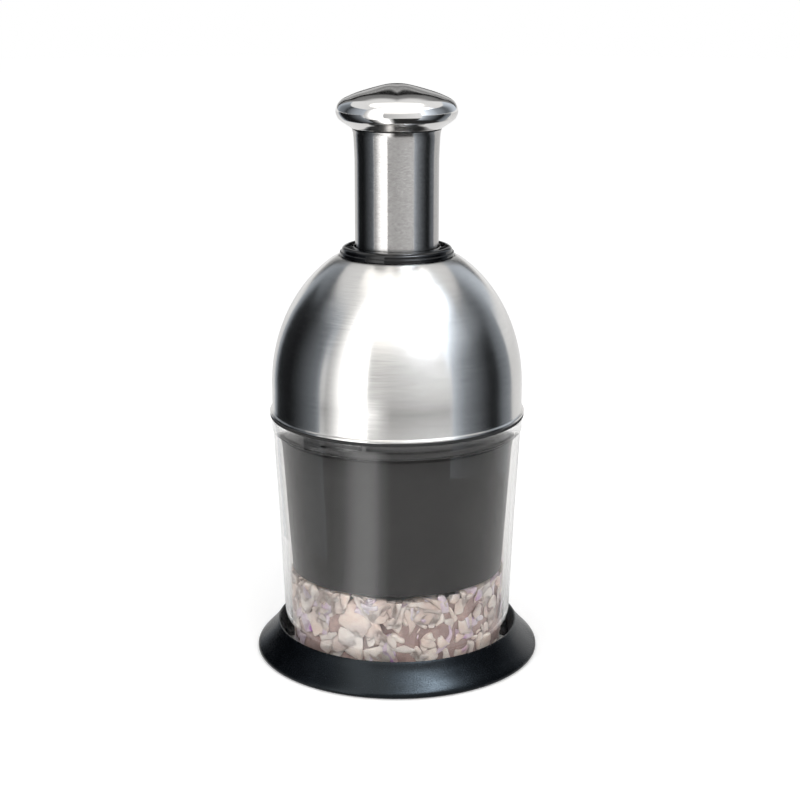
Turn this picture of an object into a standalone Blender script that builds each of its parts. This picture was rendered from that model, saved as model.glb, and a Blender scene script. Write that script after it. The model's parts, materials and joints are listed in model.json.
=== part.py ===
# Press-down vegetable chopper: base cap, clear cup, domed housing, sprung plunger, turning blade.
# Metres, +Z up, origin at the bottom centre of the base.

import math

import bmesh
import bpy
from mathutils import Matrix, Vector

# Shared clearances
FIT_GAP = 0.0003
CUT_OVERRUN = 0.0008
MERGE_DISTANCE = 0.00005
LARGE_STEPS = 36
MEDIUM_STEPS = 24
SMALL_STEPS = 16

# Strokes and turns
STROKE_SHARE = 0.32124
INDEX_ANGLE = math.radians(36)
TWIST_ANGLE = math.radians(22)

# Base cap, its grip ring, the cup seal and the chopping board
BASE_LIFT = 0.0004
BASE_HEIGHT = 0.0119
BASE_SKIRT_WIDTH = 0.0095
BASE_FLOOR_HEIGHT = 0.0042
BASE_SLOPE_SHARES = ((0.00, 0.97), (0.07, 1.00), (0.28, 0.76), (0.59, 0.47), (0.88, 0.23),
                     (0.98, 0.13), (1.00, 0.05), (0.96, 0.00))
SEAT_CLEARANCE = 0.00065
SEAT_HEIGHT = 0.0028
OPENING_CLEARANCE = 0.0028
GRIP_RING_THICKNESS = 0.0017
GRIP_RING_WIDTH = 0.0074
GRIP_RING_INSET = 0.0055
SEAL_THICKNESS = 0.0010
SEAL_INNER_MARGIN = 0.0004
BOARD_THICKNESS = 0.0032
BOARD_CLEARANCE = 0.0011
BOARD_CHAMFER = 0.0005

# Clear cup
CUP_HEIGHT = 0.0965
CUP_WALL = 0.0020
CUP_FOOT_RADIUS = 0.04695
CUP_TAPER = 0.00411
CUP_BAND_HEIGHT = 0.0059
CUP_BAND_STEP = 0.00054
CUP_BAND_SLOPE = 0.0004
CUP_FLARE_SHARES = ((0.00, 0.000), (0.38, 0.355), (0.60, 0.555), (0.82, 0.815), (1.00, 1.000))
CUP_FOOT_CHAMFER = 0.0006

# Bayonet between the cup and the housing
BAYONET_COUNT = 3
BAYONET_CLEARANCE = 0.00056
LUG_ANGLE = math.radians(8)
LUG_START_ANGLE = math.radians(-111)
LUG_HEIGHT = 0.0020
LUG_DEPTH = 0.0017
LUG_SETBACK = 0.0012
SLOT_CLEARANCE = 0.0004
SLOT_CLEARANCE_ANGLE = math.radians(1)

# Domed housing
GASKET_THICKNESS = 0.0006
GASKET_SETBACK = 0.0004
DOME_WALL = 0.0009
DOME_SETBACK = 0.0002
DOME_SIDE_HEIGHT = 0.0115
DOME_CROWN_HEIGHT = 0.0603
DOME_CROWN_POINTS = 8
DOME_SEAT_DROP = 0.00065
DOME_SEAT_MARGIN = 0.0002
DOME_SEAT_BLEND = 0.0037
RIM_LIP_WIDTH = 0.0010
RIM_LIP_HEIGHT = 0.0009
RIM_LIP_SLOPE = 0.0006

# Liner inside the housing
SKIRT_WALL = 0.0016
SKIRT_DEPTH = 0.0073
LEDGE_WIDTH = 0.0015
LEDGE_HEIGHT = 0.0012
DECK_THICKNESS = 0.0025
BOSS_RISE = 0.0065
BOSS_MARGIN = 0.0013

# Guide collar, guide nut and guide bush
COLLAR_HEIGHT = 0.0036
COLLAR_LIP_THICKNESS = 0.0014
COLLAR_LIP_CLEARANCE = 0.0006
COLLAR_OVERLAP = 0.0019
COLLAR_STEP = 0.0007
COLLAR_STEP_HEIGHT = 0.0014
COLLAR_EDGE = 0.0004
COLLAR_NOTCH_WIDTH = 0.0030
COLLAR_NOTCH_DEPTH = 0.0009
SPIGOT_WALL = 0.0011
SPIGOT_SETBACK = 0.0008
SPIGOT_HOLE_CLEARANCE = 0.0006
BUSH_WALL = 0.0019
BUSH_CLEARANCE = 0.0004
GUIDE_NUT_HEIGHT = 0.0035
GUIDE_NUT_MARGIN = 0.0003

# Plunger tube, core and knob
TUBE_SHARE = 0.36
TUBE_WALL = 0.0011
TUBE_FOOT_HEIGHT = 0.0039
TUBE_FOOT_WIDTH = 0.0020
TUBE_FLARE = 0.0010
TUBE_FLARE_HEIGHT = 0.0120
TUBE_FLARE_SHARES = ((0.00, 1.00), (0.17, 0.50), (0.58, 0.20), (1.00, 0.00))
TUBE_LANDING_GAP = 0.0006
BUMPER_HEIGHT = 0.0036
KNOB_CLEARANCE = 0.0160
KNOB_SHARE = 1.438
KNOB_HEIGHT = 0.0175
KNOB_WALL = 0.0010
KNOB_OUTLINE_SHARES = ((0.000, 1.000), (0.350, 0.920), (0.635, 0.803), (0.815, 0.702), (0.905, 0.632),
                       (0.973, 0.527), (1.000, 0.375), (0.970, 0.245), (0.920, 0.172), (0.823, 0.080))
CORE_SETBACK = 0.0200
CORE_PLUG_LENGTH = 0.0160
CORE_SCREW_RADIUS = 0.0019
CORE_SCREW_BITE = 0.0090
CORE_SCREW_HEAD_RADIUS = 0.0036
CORE_SCREW_HEAD_HEIGHT = 0.0028

# Return spring and its seats
SPRING_WIRE_RADIUS = 0.0007
SPRING_SIDE_GAP = 0.0025
SPRING_TURNS = 7
SPRING_POINTS_PER_TURN = 10
SPRING_SEAT_THICKNESS = 0.0008
SPRING_SEAT_WIDTH = 0.0041
UPPER_SEAT_MARGIN = 0.0006
UPPER_SEAT_WIDTH = 0.0047

# Drive shaft and its fasteners
SHAFT_SHARE = 0.56
SHAFT_SHOULDER_WIDTH = 0.0023
SHAFT_ENGAGEMENT = 0.0140
SHAFT_CLEARANCE = 0.0004
PIN_RADIUS = 0.0012
PIN_SETBACK = 0.0080
WASHER_THICKNESS = 0.0006
WASHER_BLADE_GAP = 0.0002
SHAFT_NUT_HEIGHT = 0.0026
SHAFT_NUT_SETBACK = 0.0001
SHAFT_NUT_SIDES = 6

# Spiral hub, index ring and its retainer
HUB_SHARE = 0.5325
HUB_STEPS = 10
HUB_REACH = 0.0029
HUB_FLANGE_SHARE = 1.6667
HUB_FLANGE_THICKNESS = 0.0025
GROOVE_COUNT = 3
GROOVE_WIDTH = 0.0034
GROOVE_DEPTH = 0.0017
GROOVE_SPAN_POINTS = 4
INDEX_CLEARANCE = 0.0006
INDEX_WALL = 0.0025
INDEX_FLANGE_WIDTH = 0.0017
INDEX_FLANGE_THICKNESS = 0.0013
INDEX_LUG_HEIGHT = 0.0030
INDEX_LUG_WIDTH = 0.0022
INDEX_LUG_SETBACK = 0.0032
RETAINER_THICKNESS = 0.0015
SCREW_COUNT = 3
SCREW_RADIUS = 0.0013
SCREW_LENGTH = 0.0080
SCREW_HEAD_RADIUS = 0.0025
SCREW_HEAD_HEIGHT = 0.0016
SCREW_START_ANGLE = math.radians(90)

# Blade, carrier, wiper sleeve and wiper plate
BLADE_LANDING_GAP = 0.0008
BLADE_DIP = 0.0020
BLADE_THICKNESS = 0.0008
BLADE_FOLD_RADIUS = 0.0020
BLADE_FOLD_POINTS = 5
BLADE_X_SHARES = (-0.93, -0.62, -0.31, 0.00, 0.31, 0.62, 0.93)
BLADE_RIM = 0.0050
BLADE_SLOT_CLEARANCE = 0.0005
BLADE_SOCKET_DEPTH = 0.0028
PLATE_THICKNESS = 0.0026
CARRIER_THICKNESS = 0.0050
CARRIER_MARGIN = 0.0020
CARRIER_LANDING_GAP = 0.0016
RIVET_RADIUS = 0.0014
RIVET_HEAD_RADIUS = 0.0023
RIVET_HEAD_HEIGHT = 0.0010
RIVET_COUNT = 2
SLEEVE_WALL = 0.0016
SLEEVE_TOP_CLEARANCE = 0.00106
SLEEVE_FOOT_CLEARANCE = 0.00235
SLEEVE_LIP_THICKNESS = 0.0008
SLEEVE_LIP_WIDTH = 0.0012
SLEEVE_HANG_GAP = 0.0004
NECK_CLEARANCE = 0.0006
BEAD_CLEARANCE = 0.0005
BEAD_HEIGHT = 0.0012

# Heights from the floor up to the cup and the housing rim
STROKE = CUP_HEIGHT * STROKE_SHARE
SEAL_Z = BASE_FLOOR_HEIGHT + FIT_GAP
CUP_FOOT_Z = SEAL_Z + SEAL_THICKNESS + FIT_GAP
CUP_TOP_Z = CUP_FOOT_Z + CUP_HEIGHT
CUP_BAND_Z = CUP_TOP_Z - CUP_BAND_HEIGHT
GASKET_Z = CUP_TOP_Z + FIT_GAP
RIM_Z = GASKET_Z + GASKET_THICKNESS + FIT_GAP
BOARD_TOP_Z = BASE_FLOOR_HEIGHT + FIT_GAP + BOARD_THICKNESS

# Radii of the cup, the base and the housing
CUP_TOP_RADIUS = CUP_FOOT_RADIUS + CUP_TAPER
CUP_BAND_RADIUS = CUP_TOP_RADIUS + CUP_BAND_STEP
CUP_BORE_RADIUS = CUP_TOP_RADIUS - CUP_WALL
BASE_SEAT_RADIUS = CUP_FOOT_RADIUS + SEAT_CLEARANCE
BASE_OPENING_RADIUS = CUP_FOOT_RADIUS + OPENING_CLEARANCE
BASE_RADIUS = BASE_OPENING_RADIUS + BASE_SKIRT_WIDTH
DOME_RADIUS = CUP_BAND_RADIUS - DOME_SETBACK
SKIRT_RADIUS = CUP_BORE_RADIUS - BAYONET_CLEARANCE
SKIRT_BORE_RADIUS = SKIRT_RADIUS - SKIRT_WALL
LEDGE_RADIUS = SKIRT_BORE_RADIUS - LEDGE_WIDTH
SKIRT_FOOT_Z = RIM_Z - SKIRT_DEPTH

# Radii from the plunger tube out to the collar and the knob
TUBE_RADIUS = CUP_FOOT_RADIUS * TUBE_SHARE
KNOB_RADIUS = TUBE_RADIUS * KNOB_SHARE
TUBE_BORE_RADIUS = TUBE_RADIUS - TUBE_WALL
TUBE_FOOT_RADIUS = TUBE_RADIUS + TUBE_FOOT_WIDTH
CORE_RADIUS = TUBE_BORE_RADIUS - FIT_GAP
BUSH_BORE_RADIUS = TUBE_RADIUS + BUSH_CLEARANCE
BUSH_RADIUS = BUSH_BORE_RADIUS + BUSH_WALL
SPIGOT_BORE_RADIUS = BUSH_RADIUS + FIT_GAP
SPIGOT_RADIUS = SPIGOT_BORE_RADIUS + SPIGOT_WALL
DOME_HOLE_RADIUS = SPIGOT_RADIUS + SPIGOT_HOLE_CLEARANCE
COLLAR_FLANGE_RADIUS = DOME_HOLE_RADIUS + COLLAR_OVERLAP
DOME_SEAT_RADIUS = COLLAR_FLANGE_RADIUS + DOME_SEAT_MARGIN

# Radii from the hub out to the boss
HUB_RADIUS = TUBE_RADIUS * HUB_SHARE
HUB_FLANGE_RADIUS = HUB_RADIUS * HUB_FLANGE_SHARE
INDEX_BORE_RADIUS = HUB_RADIUS + INDEX_CLEARANCE
INDEX_RADIUS = INDEX_BORE_RADIUS + INDEX_WALL
BOSS_BORE_RADIUS = INDEX_RADIUS + SHAFT_CLEARANCE
INDEX_FLANGE_RADIUS = INDEX_RADIUS + INDEX_FLANGE_WIDTH
BOSS_RECESS_RADIUS = INDEX_FLANGE_RADIUS + SHAFT_CLEARANCE
SPRING_RADIUS = TUBE_BORE_RADIUS - SPRING_SIDE_GAP - SPRING_WIRE_RADIUS
LOWER_SEAT_RADIUS = BOSS_BORE_RADIUS + SPRING_SEAT_WIDTH / 2
BUMPER_BORE_RADIUS = LOWER_SEAT_RADIUS + SHAFT_CLEARANCE
BUMPER_RADIUS = TUBE_FOOT_RADIUS + FIT_GAP
BOSS_RADIUS = BUMPER_RADIUS + BOSS_MARGIN
SCREW_CIRCLE_RADIUS = (BOSS_RECESS_RADIUS + BOSS_RADIUS) / 2
RIVET_CIRCLE_RADIUS = (HUB_RADIUS + HUB_FLANGE_RADIUS) / 2

# Heights inside the housing
DECK_TOP_Z = RIM_Z + DECK_THICKNESS
BOSS_TOP_Z = DECK_TOP_Z + BOSS_RISE
BOSS_FOOT_Z = RIM_Z - INDEX_FLANGE_THICKNESS - FIT_GAP - FIT_GAP
INDEX_TOP_Z = BOSS_TOP_Z - FIT_GAP
INDEX_FOOT_Z = BOSS_FOOT_Z + FIT_GAP
INDEX_LUG_Z = INDEX_TOP_Z - INDEX_LUG_SETBACK - INDEX_LUG_HEIGHT
RETAINER_TOP_Z = BOSS_FOOT_Z - FIT_GAP
LOWER_SEAT_Z = BOSS_TOP_Z + FIT_GAP
BUMPER_TOP_Z = BOSS_TOP_Z + FIT_GAP + BUMPER_HEIGHT
TUBE_FOOT_Z = BUMPER_TOP_Z + TUBE_LANDING_GAP + STROKE
BUSH_FOOT_Z = TUBE_FOOT_Z + TUBE_FOOT_HEIGHT + FIT_GAP

# Heights of the dome's crown, the collar and the knob
DOME_CENTRE_Z = RIM_Z + DOME_SIDE_HEIGHT


def dome_crown_z(radius, side, crown):
    """Height of an elliptical crown at a radius, for a side radius and a crown height."""
    return DOME_CENTRE_Z + crown * math.sqrt(1 - (radius / side) ** 2)


DOME_SEAT_Z = dome_crown_z(DOME_SEAT_RADIUS, DOME_RADIUS, DOME_CROWN_HEIGHT) - DOME_SEAT_DROP
COLLAR_Z = DOME_SEAT_Z + FIT_GAP
COLLAR_TOP_Z = COLLAR_Z + COLLAR_HEIGHT
BUSH_TOP_Z = COLLAR_TOP_Z - COLLAR_LIP_THICKNESS - FIT_GAP
KNOB_Z = COLLAR_TOP_Z + STROKE + KNOB_CLEARANCE
TUBE_TOP_Z = KNOB_Z - FIT_GAP
CORE_FOOT_Z = TUBE_FOOT_Z + CORE_SETBACK
PLUG_FOOT_Z = TUBE_TOP_Z - CORE_PLUG_LENGTH
CORE_TOP_Z = PLUG_FOOT_Z - FIT_GAP
UPPER_SEAT_Z = CORE_FOOT_Z - FIT_GAP - SPRING_SEAT_THICKNESS

# Heights of the blade, the wiper plate and the sleeve
BLADE_FOOT_Z = BOARD_TOP_Z + BLADE_LANDING_GAP + STROKE
PLATE_TOP_Z = BLADE_FOOT_Z + BLADE_DIP
PLATE_Z = PLATE_TOP_Z - PLATE_THICKNESS
SLEEVE_LIP_TOP_Z = PLATE_Z - FIT_GAP
SLEEVE_FOOT_Z = SLEEVE_LIP_TOP_Z - SLEEVE_LIP_THICKNESS
SLEEVE_SHOULDER_Z = SKIRT_FOOT_Z - SLEEVE_HANG_GAP
SHAFT_NUT_STACK = FIT_GAP + WASHER_THICKNESS + FIT_GAP + SHAFT_NUT_HEIGHT
CARRIER_Z = PLATE_TOP_Z + STROKE + SHAFT_NUT_STACK + CARRIER_LANDING_GAP
CARRIER_TOP_Z = CARRIER_Z + CARRIER_THICKNESS
HUB_FOOT_Z = CARRIER_TOP_Z + FIT_GAP
HUB_FLANGE_TOP_Z = HUB_FOOT_Z + HUB_FLANGE_THICKNESS
HUB_TOP_Z = INDEX_TOP_Z + HUB_REACH + STROKE
UPPER_WASHER_Z = HUB_TOP_Z + FIT_GAP
SHAFT_SHOULDER_Z = UPPER_WASHER_Z + WASHER_THICKNESS + FIT_GAP
LOWER_WASHER_Z = CARRIER_Z - FIT_GAP - WASHER_THICKNESS
SHAFT_NUT_Z = LOWER_WASHER_Z - FIT_GAP - SHAFT_NUT_HEIGHT
TWIST_RATE = INDEX_ANGLE / STROKE


def cup_radius(height):
    """Outer radius of the cup's flared side at a height above the floor."""
    span = CUP_BAND_Z - CUP_FOOT_Z
    share = (height - CUP_FOOT_Z) / span
    for (low, low_growth), (high, high_growth) in zip(CUP_FLARE_SHARES, CUP_FLARE_SHARES[1:]):
        if share <= high:
            part = (share - low) / (high - low)
            growth = low_growth + part * (high_growth - low_growth)
            return CUP_FOOT_RADIUS + growth * (CUP_TOP_RADIUS - CUP_FOOT_RADIUS)
    return CUP_TOP_RADIUS


SLEEVE_TOP_RADIUS = CUP_BORE_RADIUS - SLEEVE_TOP_CLEARANCE
SLEEVE_FOOT_RADIUS = cup_radius(SLEEVE_FOOT_Z) - CUP_WALL - SLEEVE_FOOT_CLEARANCE
SLEEVE_FOOT_BORE_RADIUS = SLEEVE_FOOT_RADIUS - SLEEVE_WALL
PLATE_RADIUS = SLEEVE_FOOT_BORE_RADIUS - FIT_GAP
BLADE_REACH = PLATE_RADIUS - BLADE_RIM
CARRIER_RADIUS = BLADE_REACH + CARRIER_MARGIN
NECK_RADIUS = LEDGE_RADIUS - NECK_CLEARANCE
BEAD_RADIUS = SKIRT_BORE_RADIUS - BEAD_CLEARANCE


def zigzag_path():
    """Plan of the folded blade: straight legs that run tangent from fold to fold."""
    reach = BLADE_REACH - BLADE_FOLD_RADIUS
    signs = [1 if index % 2 == 0 else -1 for index in range(len(BLADE_X_SHARES))]
    centres = [Vector((share, sign * math.sqrt(1 - share ** 2))) * reach
               for share, sign in zip(BLADE_X_SHARES, signs)]
    ways = []
    for sign, here, there in zip(signs, centres, centres[1:]):
        way = there - here
        lean = math.asin(BLADE_FOLD_RADIUS * 2 / way.length)
        ways.append(Matrix.Rotation(-sign * lean, 2) @ way.normalized())
    path = []
    for index, (sign, centre) in enumerate(zip(signs, centres)):
        arrive = ways[max(index - 1, 0)]
        leave = ways[min(index, len(ways) - 1)]
        start = Vector((-arrive.y, arrive.x)) * sign * BLADE_FOLD_RADIUS
        steps = BLADE_FOLD_POINTS if arrive != leave else 1
        for step in range(steps):
            turn = -sign * arrive.angle(leave) * step / max(steps - 1, 1)
            path.append(centre + Matrix.Rotation(turn, 2) @ start)
    return path


def blade_clear_radius():
    """Radius round the axis that the blade's nearest leg stays out of."""
    path = zigzag_path()
    return min(abs(here.cross((there - here).normalized()))
               for here, there in zip(path, path[1:])) - BLADE_THICKNESS / 2


WASHER_RADIUS = blade_clear_radius() - WASHER_BLADE_GAP
SHAFT_RADIUS = WASHER_RADIUS * SHAFT_SHARE
SHAFT_BORE_RADIUS = SHAFT_RADIUS + SHAFT_CLEARANCE
SHAFT_SHOULDER_RADIUS = SHAFT_RADIUS + SHAFT_SHOULDER_WIDTH


def clear_scene():
    for item in list(bpy.data.objects):
        bpy.data.objects.remove(item, do_unlink=True)
    for group in list(bpy.data.collections):
        bpy.data.collections.remove(group)


def new_collection(name):
    group = bpy.data.collections.new(name)
    bpy.context.scene.collection.children.link(group)
    return group


def finish(name, colour, roughness, metallic=0.0, transmission=0.0):
    """Principled material in one colour, linear RGB."""
    surface = bpy.data.materials.new(name)
    surface.use_nodes = True
    shader = surface.node_tree.nodes["Principled BSDF"]
    shader.inputs["Base Color"].default_value = (*colour, 1)
    shader.inputs["Roughness"].default_value = roughness
    shader.inputs["Metallic"].default_value = metallic
    shader.inputs["Transmission Weight"].default_value = transmission
    return surface


def add_object(name, mesh, group, seat_z):
    item = bpy.data.objects.new(name, mesh)
    item.location.z = seat_z
    group.objects.link(item)
    return item


def shade(mesh):
    mesh.shade_smooth()
    mesh.set_sharp_from_angle(angle=math.radians(32))


def turned(name, outline, group, steps=LARGE_STEPS, seat_z=None):
    """Solid turned about Z from (radius, height) points that run down the outer side."""
    closed = min(radius for radius, _ in outline) > 0
    if seat_z is None:
        seat_z = min(height for _, height in outline)
    mesh = bpy.data.meshes.new(name)
    points = [(radius, 0, height - seat_z) for radius, height in outline]
    edges = [(i, i + 1) for i in range(len(points) - 1)]
    if closed:
        edges.append((len(points) - 1, 0))
    mesh.from_pydata(points, edges, [])
    item = add_object(name, mesh, group, seat_z)
    screw = item.modifiers.new("Turn", "SCREW")
    screw.steps = steps
    screw.render_steps = steps
    screw.use_merge_vertices = True
    screw.merge_threshold = MERGE_DISTANCE
    screw.use_smooth_shade = True
    return item


def ring(name, bore, radius, foot_z, top_z, group, steps=LARGE_STEPS):
    """Plain turned ring between two radii and two heights."""
    outline = [(bore, top_z), (radius, top_z), (radius, foot_z), (bore, foot_z)]
    return turned(name, outline, group, steps)


def mesh_object(name, builder, group, seat_z=0.0):
    """Object whose mesh is made by a function that fills a bmesh."""
    mesh = bpy.data.meshes.new(name)
    work = bmesh.new()
    builder(work)
    bmesh.ops.recalc_face_normals(work, faces=work.faces)
    work.to_mesh(mesh)
    work.free()
    shade(mesh)
    return add_object(name, mesh, group, seat_z)


def cylinder(name, radius, foot_z, top_z, group, centre=(0.0, 0.0), sides=SMALL_STEPS):
    def build(work):
        place = Matrix.Translation((centre[0], centre[1], (top_z - foot_z) / 2))
        bmesh.ops.create_cone(work, cap_ends=True, segments=sides, radius1=radius, radius2=radius,
                              depth=top_z - foot_z, matrix=place)
    return mesh_object(name, build, group, foot_z)


def box(name, size, centre, group, turn=0.0):
    """Box of a size, moved to a centre and then turned about Z."""
    def build(work):
        place = Matrix.Rotation(turn, 4, "Z") @ Matrix.Translation((centre[0], centre[1], 0))
        bmesh.ops.create_cube(work, size=1, matrix=place @ Matrix.Diagonal((*size, 1)))
    return mesh_object(name, build, group, centre[2])


def arc_block(name, bore, radius, foot_z, top_z, start, angle, group):
    """Block swept about Z between two radii, two heights and two angles."""
    def build(work):
        section = ((bore, 0), (radius, 0), (radius, top_z - foot_z), (bore, top_z - foot_z))
        across = Vector((math.cos(start), math.sin(start), 0))
        face = work.faces.new([work.verts.new(across * r + Vector((0, 0, z))) for r, z in section])
        steps = max(2, round(angle * LARGE_STEPS / math.tau))
        bmesh.ops.spin(work, geom=[face, *face.edges, *face.verts], axis=(0, 0, 1), cent=(0, 0, 0),
                       angle=angle, steps=steps, use_duplicate=False)
    return mesh_object(name, build, group, foot_z)


def combine(item, tools, operation, cutters):
    """Boolean modifiers from tools that stay hidden in the cutter collection."""
    for tool in tools:
        if tool.name not in cutters.objects:
            for group in list(tool.users_collection):
                group.objects.unlink(tool)
            cutters.objects.link(tool)
        tool.hide_render = True
        tool.display_type = "WIRE"
        change = item.modifiers.new(operation.title(), "BOOLEAN")
        change.operation = operation
        change.solver = "EXACT"
        change.object = tool
    return item


def around(count, start=0.0):
    return [start + index * math.tau / count for index in range(count)]


def inset(outline, depth):
    """Outline moved inward by a depth; its ends keep their height, or stay on the axis."""
    moved = []
    for index, (radius, height) in enumerate(outline):
        before = Vector(outline[max(index - 1, 0)])
        after = Vector(outline[min(index + 1, len(outline) - 1)])
        here = Vector((radius, height))
        if radius == 0:
            moved.append((0.0, height - depth))
            continue
        if index in (0, len(outline) - 1):
            moved.append((radius - depth, height))
            continue
        first = (here - before).normalized()
        second = (after - here).normalized()
        normal = Vector((first.y + second.y, -first.x - second.x)).normalized()
        reach = depth / max(normal.dot(Vector((first.y, -first.x))), 0.5)
        moved.append((radius + normal.x * reach, height + normal.y * reach))
    return moved


def make_base_cap(group, cutters):
    slope = [(BASE_OPENING_RADIUS + across * BASE_SKIRT_WIDTH, BASE_LIFT + up * BASE_HEIGHT)
             for across, up in BASE_SLOPE_SHARES]
    groove_outer = BASE_RADIUS - GRIP_RING_INSET
    groove_inner = groove_outer - GRIP_RING_WIDTH
    groove_top = GRIP_RING_THICKNESS + FIT_GAP
    outline = [(0.0, BASE_FLOOR_HEIGHT), (BASE_SEAT_RADIUS, BASE_FLOOR_HEIGHT),
               (BASE_SEAT_RADIUS, BASE_FLOOR_HEIGHT + SEAT_HEIGHT), *slope,
               (groove_outer, BASE_LIFT), (groove_outer, groove_top), (groove_inner, groove_top),
               (groove_inner, BASE_LIFT), (0.0, BASE_LIFT)]
    return turned("base_cap", outline, group)


def make_grip_ring(group, cutters):
    radius = BASE_RADIUS - GRIP_RING_INSET - FIT_GAP
    bore = BASE_RADIUS - GRIP_RING_INSET - GRIP_RING_WIDTH + FIT_GAP
    return ring("base_grip_ring", bore, radius, 0.0, GRIP_RING_THICKNESS, group)


def make_cup_seal(group, cutters):
    bore = CUP_FOOT_RADIUS - CUP_WALL - SEAL_INNER_MARGIN
    return ring("cup_seal", bore, CUP_FOOT_RADIUS, SEAL_Z, SEAL_Z + SEAL_THICKNESS, group)


def make_chopping_board(group, cutters):
    radius = CUP_FOOT_RADIUS - CUP_WALL - BOARD_CLEARANCE
    foot_z = BASE_FLOOR_HEIGHT + FIT_GAP
    outline = [(0.0, BOARD_TOP_Z), (radius - BOARD_CHAMFER, BOARD_TOP_Z),
               (radius, BOARD_TOP_Z - BOARD_CHAMFER), (radius, foot_z), (0.0, foot_z)]
    return turned("chopping_board", outline, group, seat_z=foot_z)


def make_clear_cup(group, cutters):
    heights = [CUP_FOOT_Z + share * (CUP_BAND_Z - CUP_FOOT_Z) for share, _ in CUP_FLARE_SHARES]
    sides = [(cup_radius(height), height) for height in heights]
    outer = [(CUP_BAND_RADIUS, CUP_TOP_Z), (CUP_BAND_RADIUS, CUP_BAND_Z + CUP_BAND_SLOPE),
             *reversed(sides[1:]), (CUP_FOOT_RADIUS, CUP_FOOT_Z + CUP_FOOT_CHAMFER),
             (CUP_FOOT_RADIUS - CUP_FOOT_CHAMFER, CUP_FOOT_Z)]
    inner = [(radius - CUP_WALL, height) for radius, height in sides]
    cup = turned("clear_cup", [*outer, *inner, (CUP_BORE_RADIUS, CUP_TOP_Z)], group)
    top_z = CUP_TOP_Z - LUG_SETBACK
    lugs = [arc_block(f"cup_lug_{number}", CUP_BORE_RADIUS - LUG_DEPTH, CUP_BORE_RADIUS + CUT_OVERRUN,
                      top_z - LUG_HEIGHT, top_z, angle - LUG_ANGLE / 2, LUG_ANGLE, cutters)
            for number, angle in enumerate(around(BAYONET_COUNT, LUG_START_ANGLE))]
    return combine(cup, lugs, "UNION", cutters)


def make_rim_gasket(group, cutters):
    return ring("rim_gasket", SKIRT_RADIUS + FIT_GAP, CUP_BAND_RADIUS + GASKET_SETBACK,
                GASKET_Z, GASKET_Z + GASKET_THICKNESS, group)


def crown_points(side, crown, end_radius):
    """Points of an elliptical crown from its top end down to the side wall."""
    last = math.acos(end_radius / side)
    turns = [last * (1 - index / DOME_CROWN_POINTS) for index in range(DOME_CROWN_POINTS + 1)]
    return [(side * math.cos(turn), DOME_CENTRE_Z + crown * math.sin(turn)) for turn in turns]


def make_dome_shell(group, cutters):
    blend = DOME_SEAT_RADIUS + DOME_SEAT_BLEND
    outer = [(DOME_HOLE_RADIUS, DOME_SEAT_Z), (DOME_SEAT_RADIUS, DOME_SEAT_Z),
             *crown_points(DOME_RADIUS, DOME_CROWN_HEIGHT, blend)]
    lip_radius = DOME_RADIUS + RIM_LIP_WIDTH
    lip = [(DOME_RADIUS, RIM_Z + RIM_LIP_HEIGHT + RIM_LIP_SLOPE), (lip_radius, RIM_Z + RIM_LIP_HEIGHT),
           (lip_radius, RIM_Z)]
    bore = DOME_RADIUS - DOME_WALL
    inner = crown_points(bore, DOME_CROWN_HEIGHT - DOME_WALL, blend - DOME_WALL / 2)
    seat_z = DOME_SEAT_Z - DOME_WALL
    outline = [*outer, *lip, (bore, RIM_Z), *reversed(inner), (DOME_SEAT_RADIUS, seat_z),
               (DOME_HOLE_RADIUS, seat_z)]
    return turned("dome_shell", outline, group)


def slot_cutters(cutters):
    """L-shaped bayonet ways in the liner's skirt: a level run and an open entry below it."""
    bore = SKIRT_BORE_RADIUS - FIT_GAP
    radius = SKIRT_RADIUS + CUT_OVERRUN
    lug_top = CUP_TOP_Z - LUG_SETBACK
    foot_z = lug_top - LUG_HEIGHT - SLOT_CLEARANCE
    entry_angle = LUG_ANGLE + SLOT_CLEARANCE_ANGLE * 2
    tools = []
    for number, angle in enumerate(around(BAYONET_COUNT, LUG_START_ANGLE)):
        start = angle - LUG_ANGLE / 2 - SLOT_CLEARANCE_ANGLE - TWIST_ANGLE
        tools.append(arc_block(f"slot_run_{number}", bore, radius, foot_z, lug_top + SLOT_CLEARANCE,
                               start, entry_angle + TWIST_ANGLE, cutters))
        tools.append(arc_block(f"slot_entry_{number}", bore, radius, SKIRT_FOOT_Z - CUT_OVERRUN,
                               foot_z + SLOT_CLEARANCE, start, entry_angle, cutters))
    return tools


def screw_places():
    return [(SCREW_CIRCLE_RADIUS * math.cos(angle), SCREW_CIRCLE_RADIUS * math.sin(angle))
            for angle in around(SCREW_COUNT, SCREW_START_ANGLE)]


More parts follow.
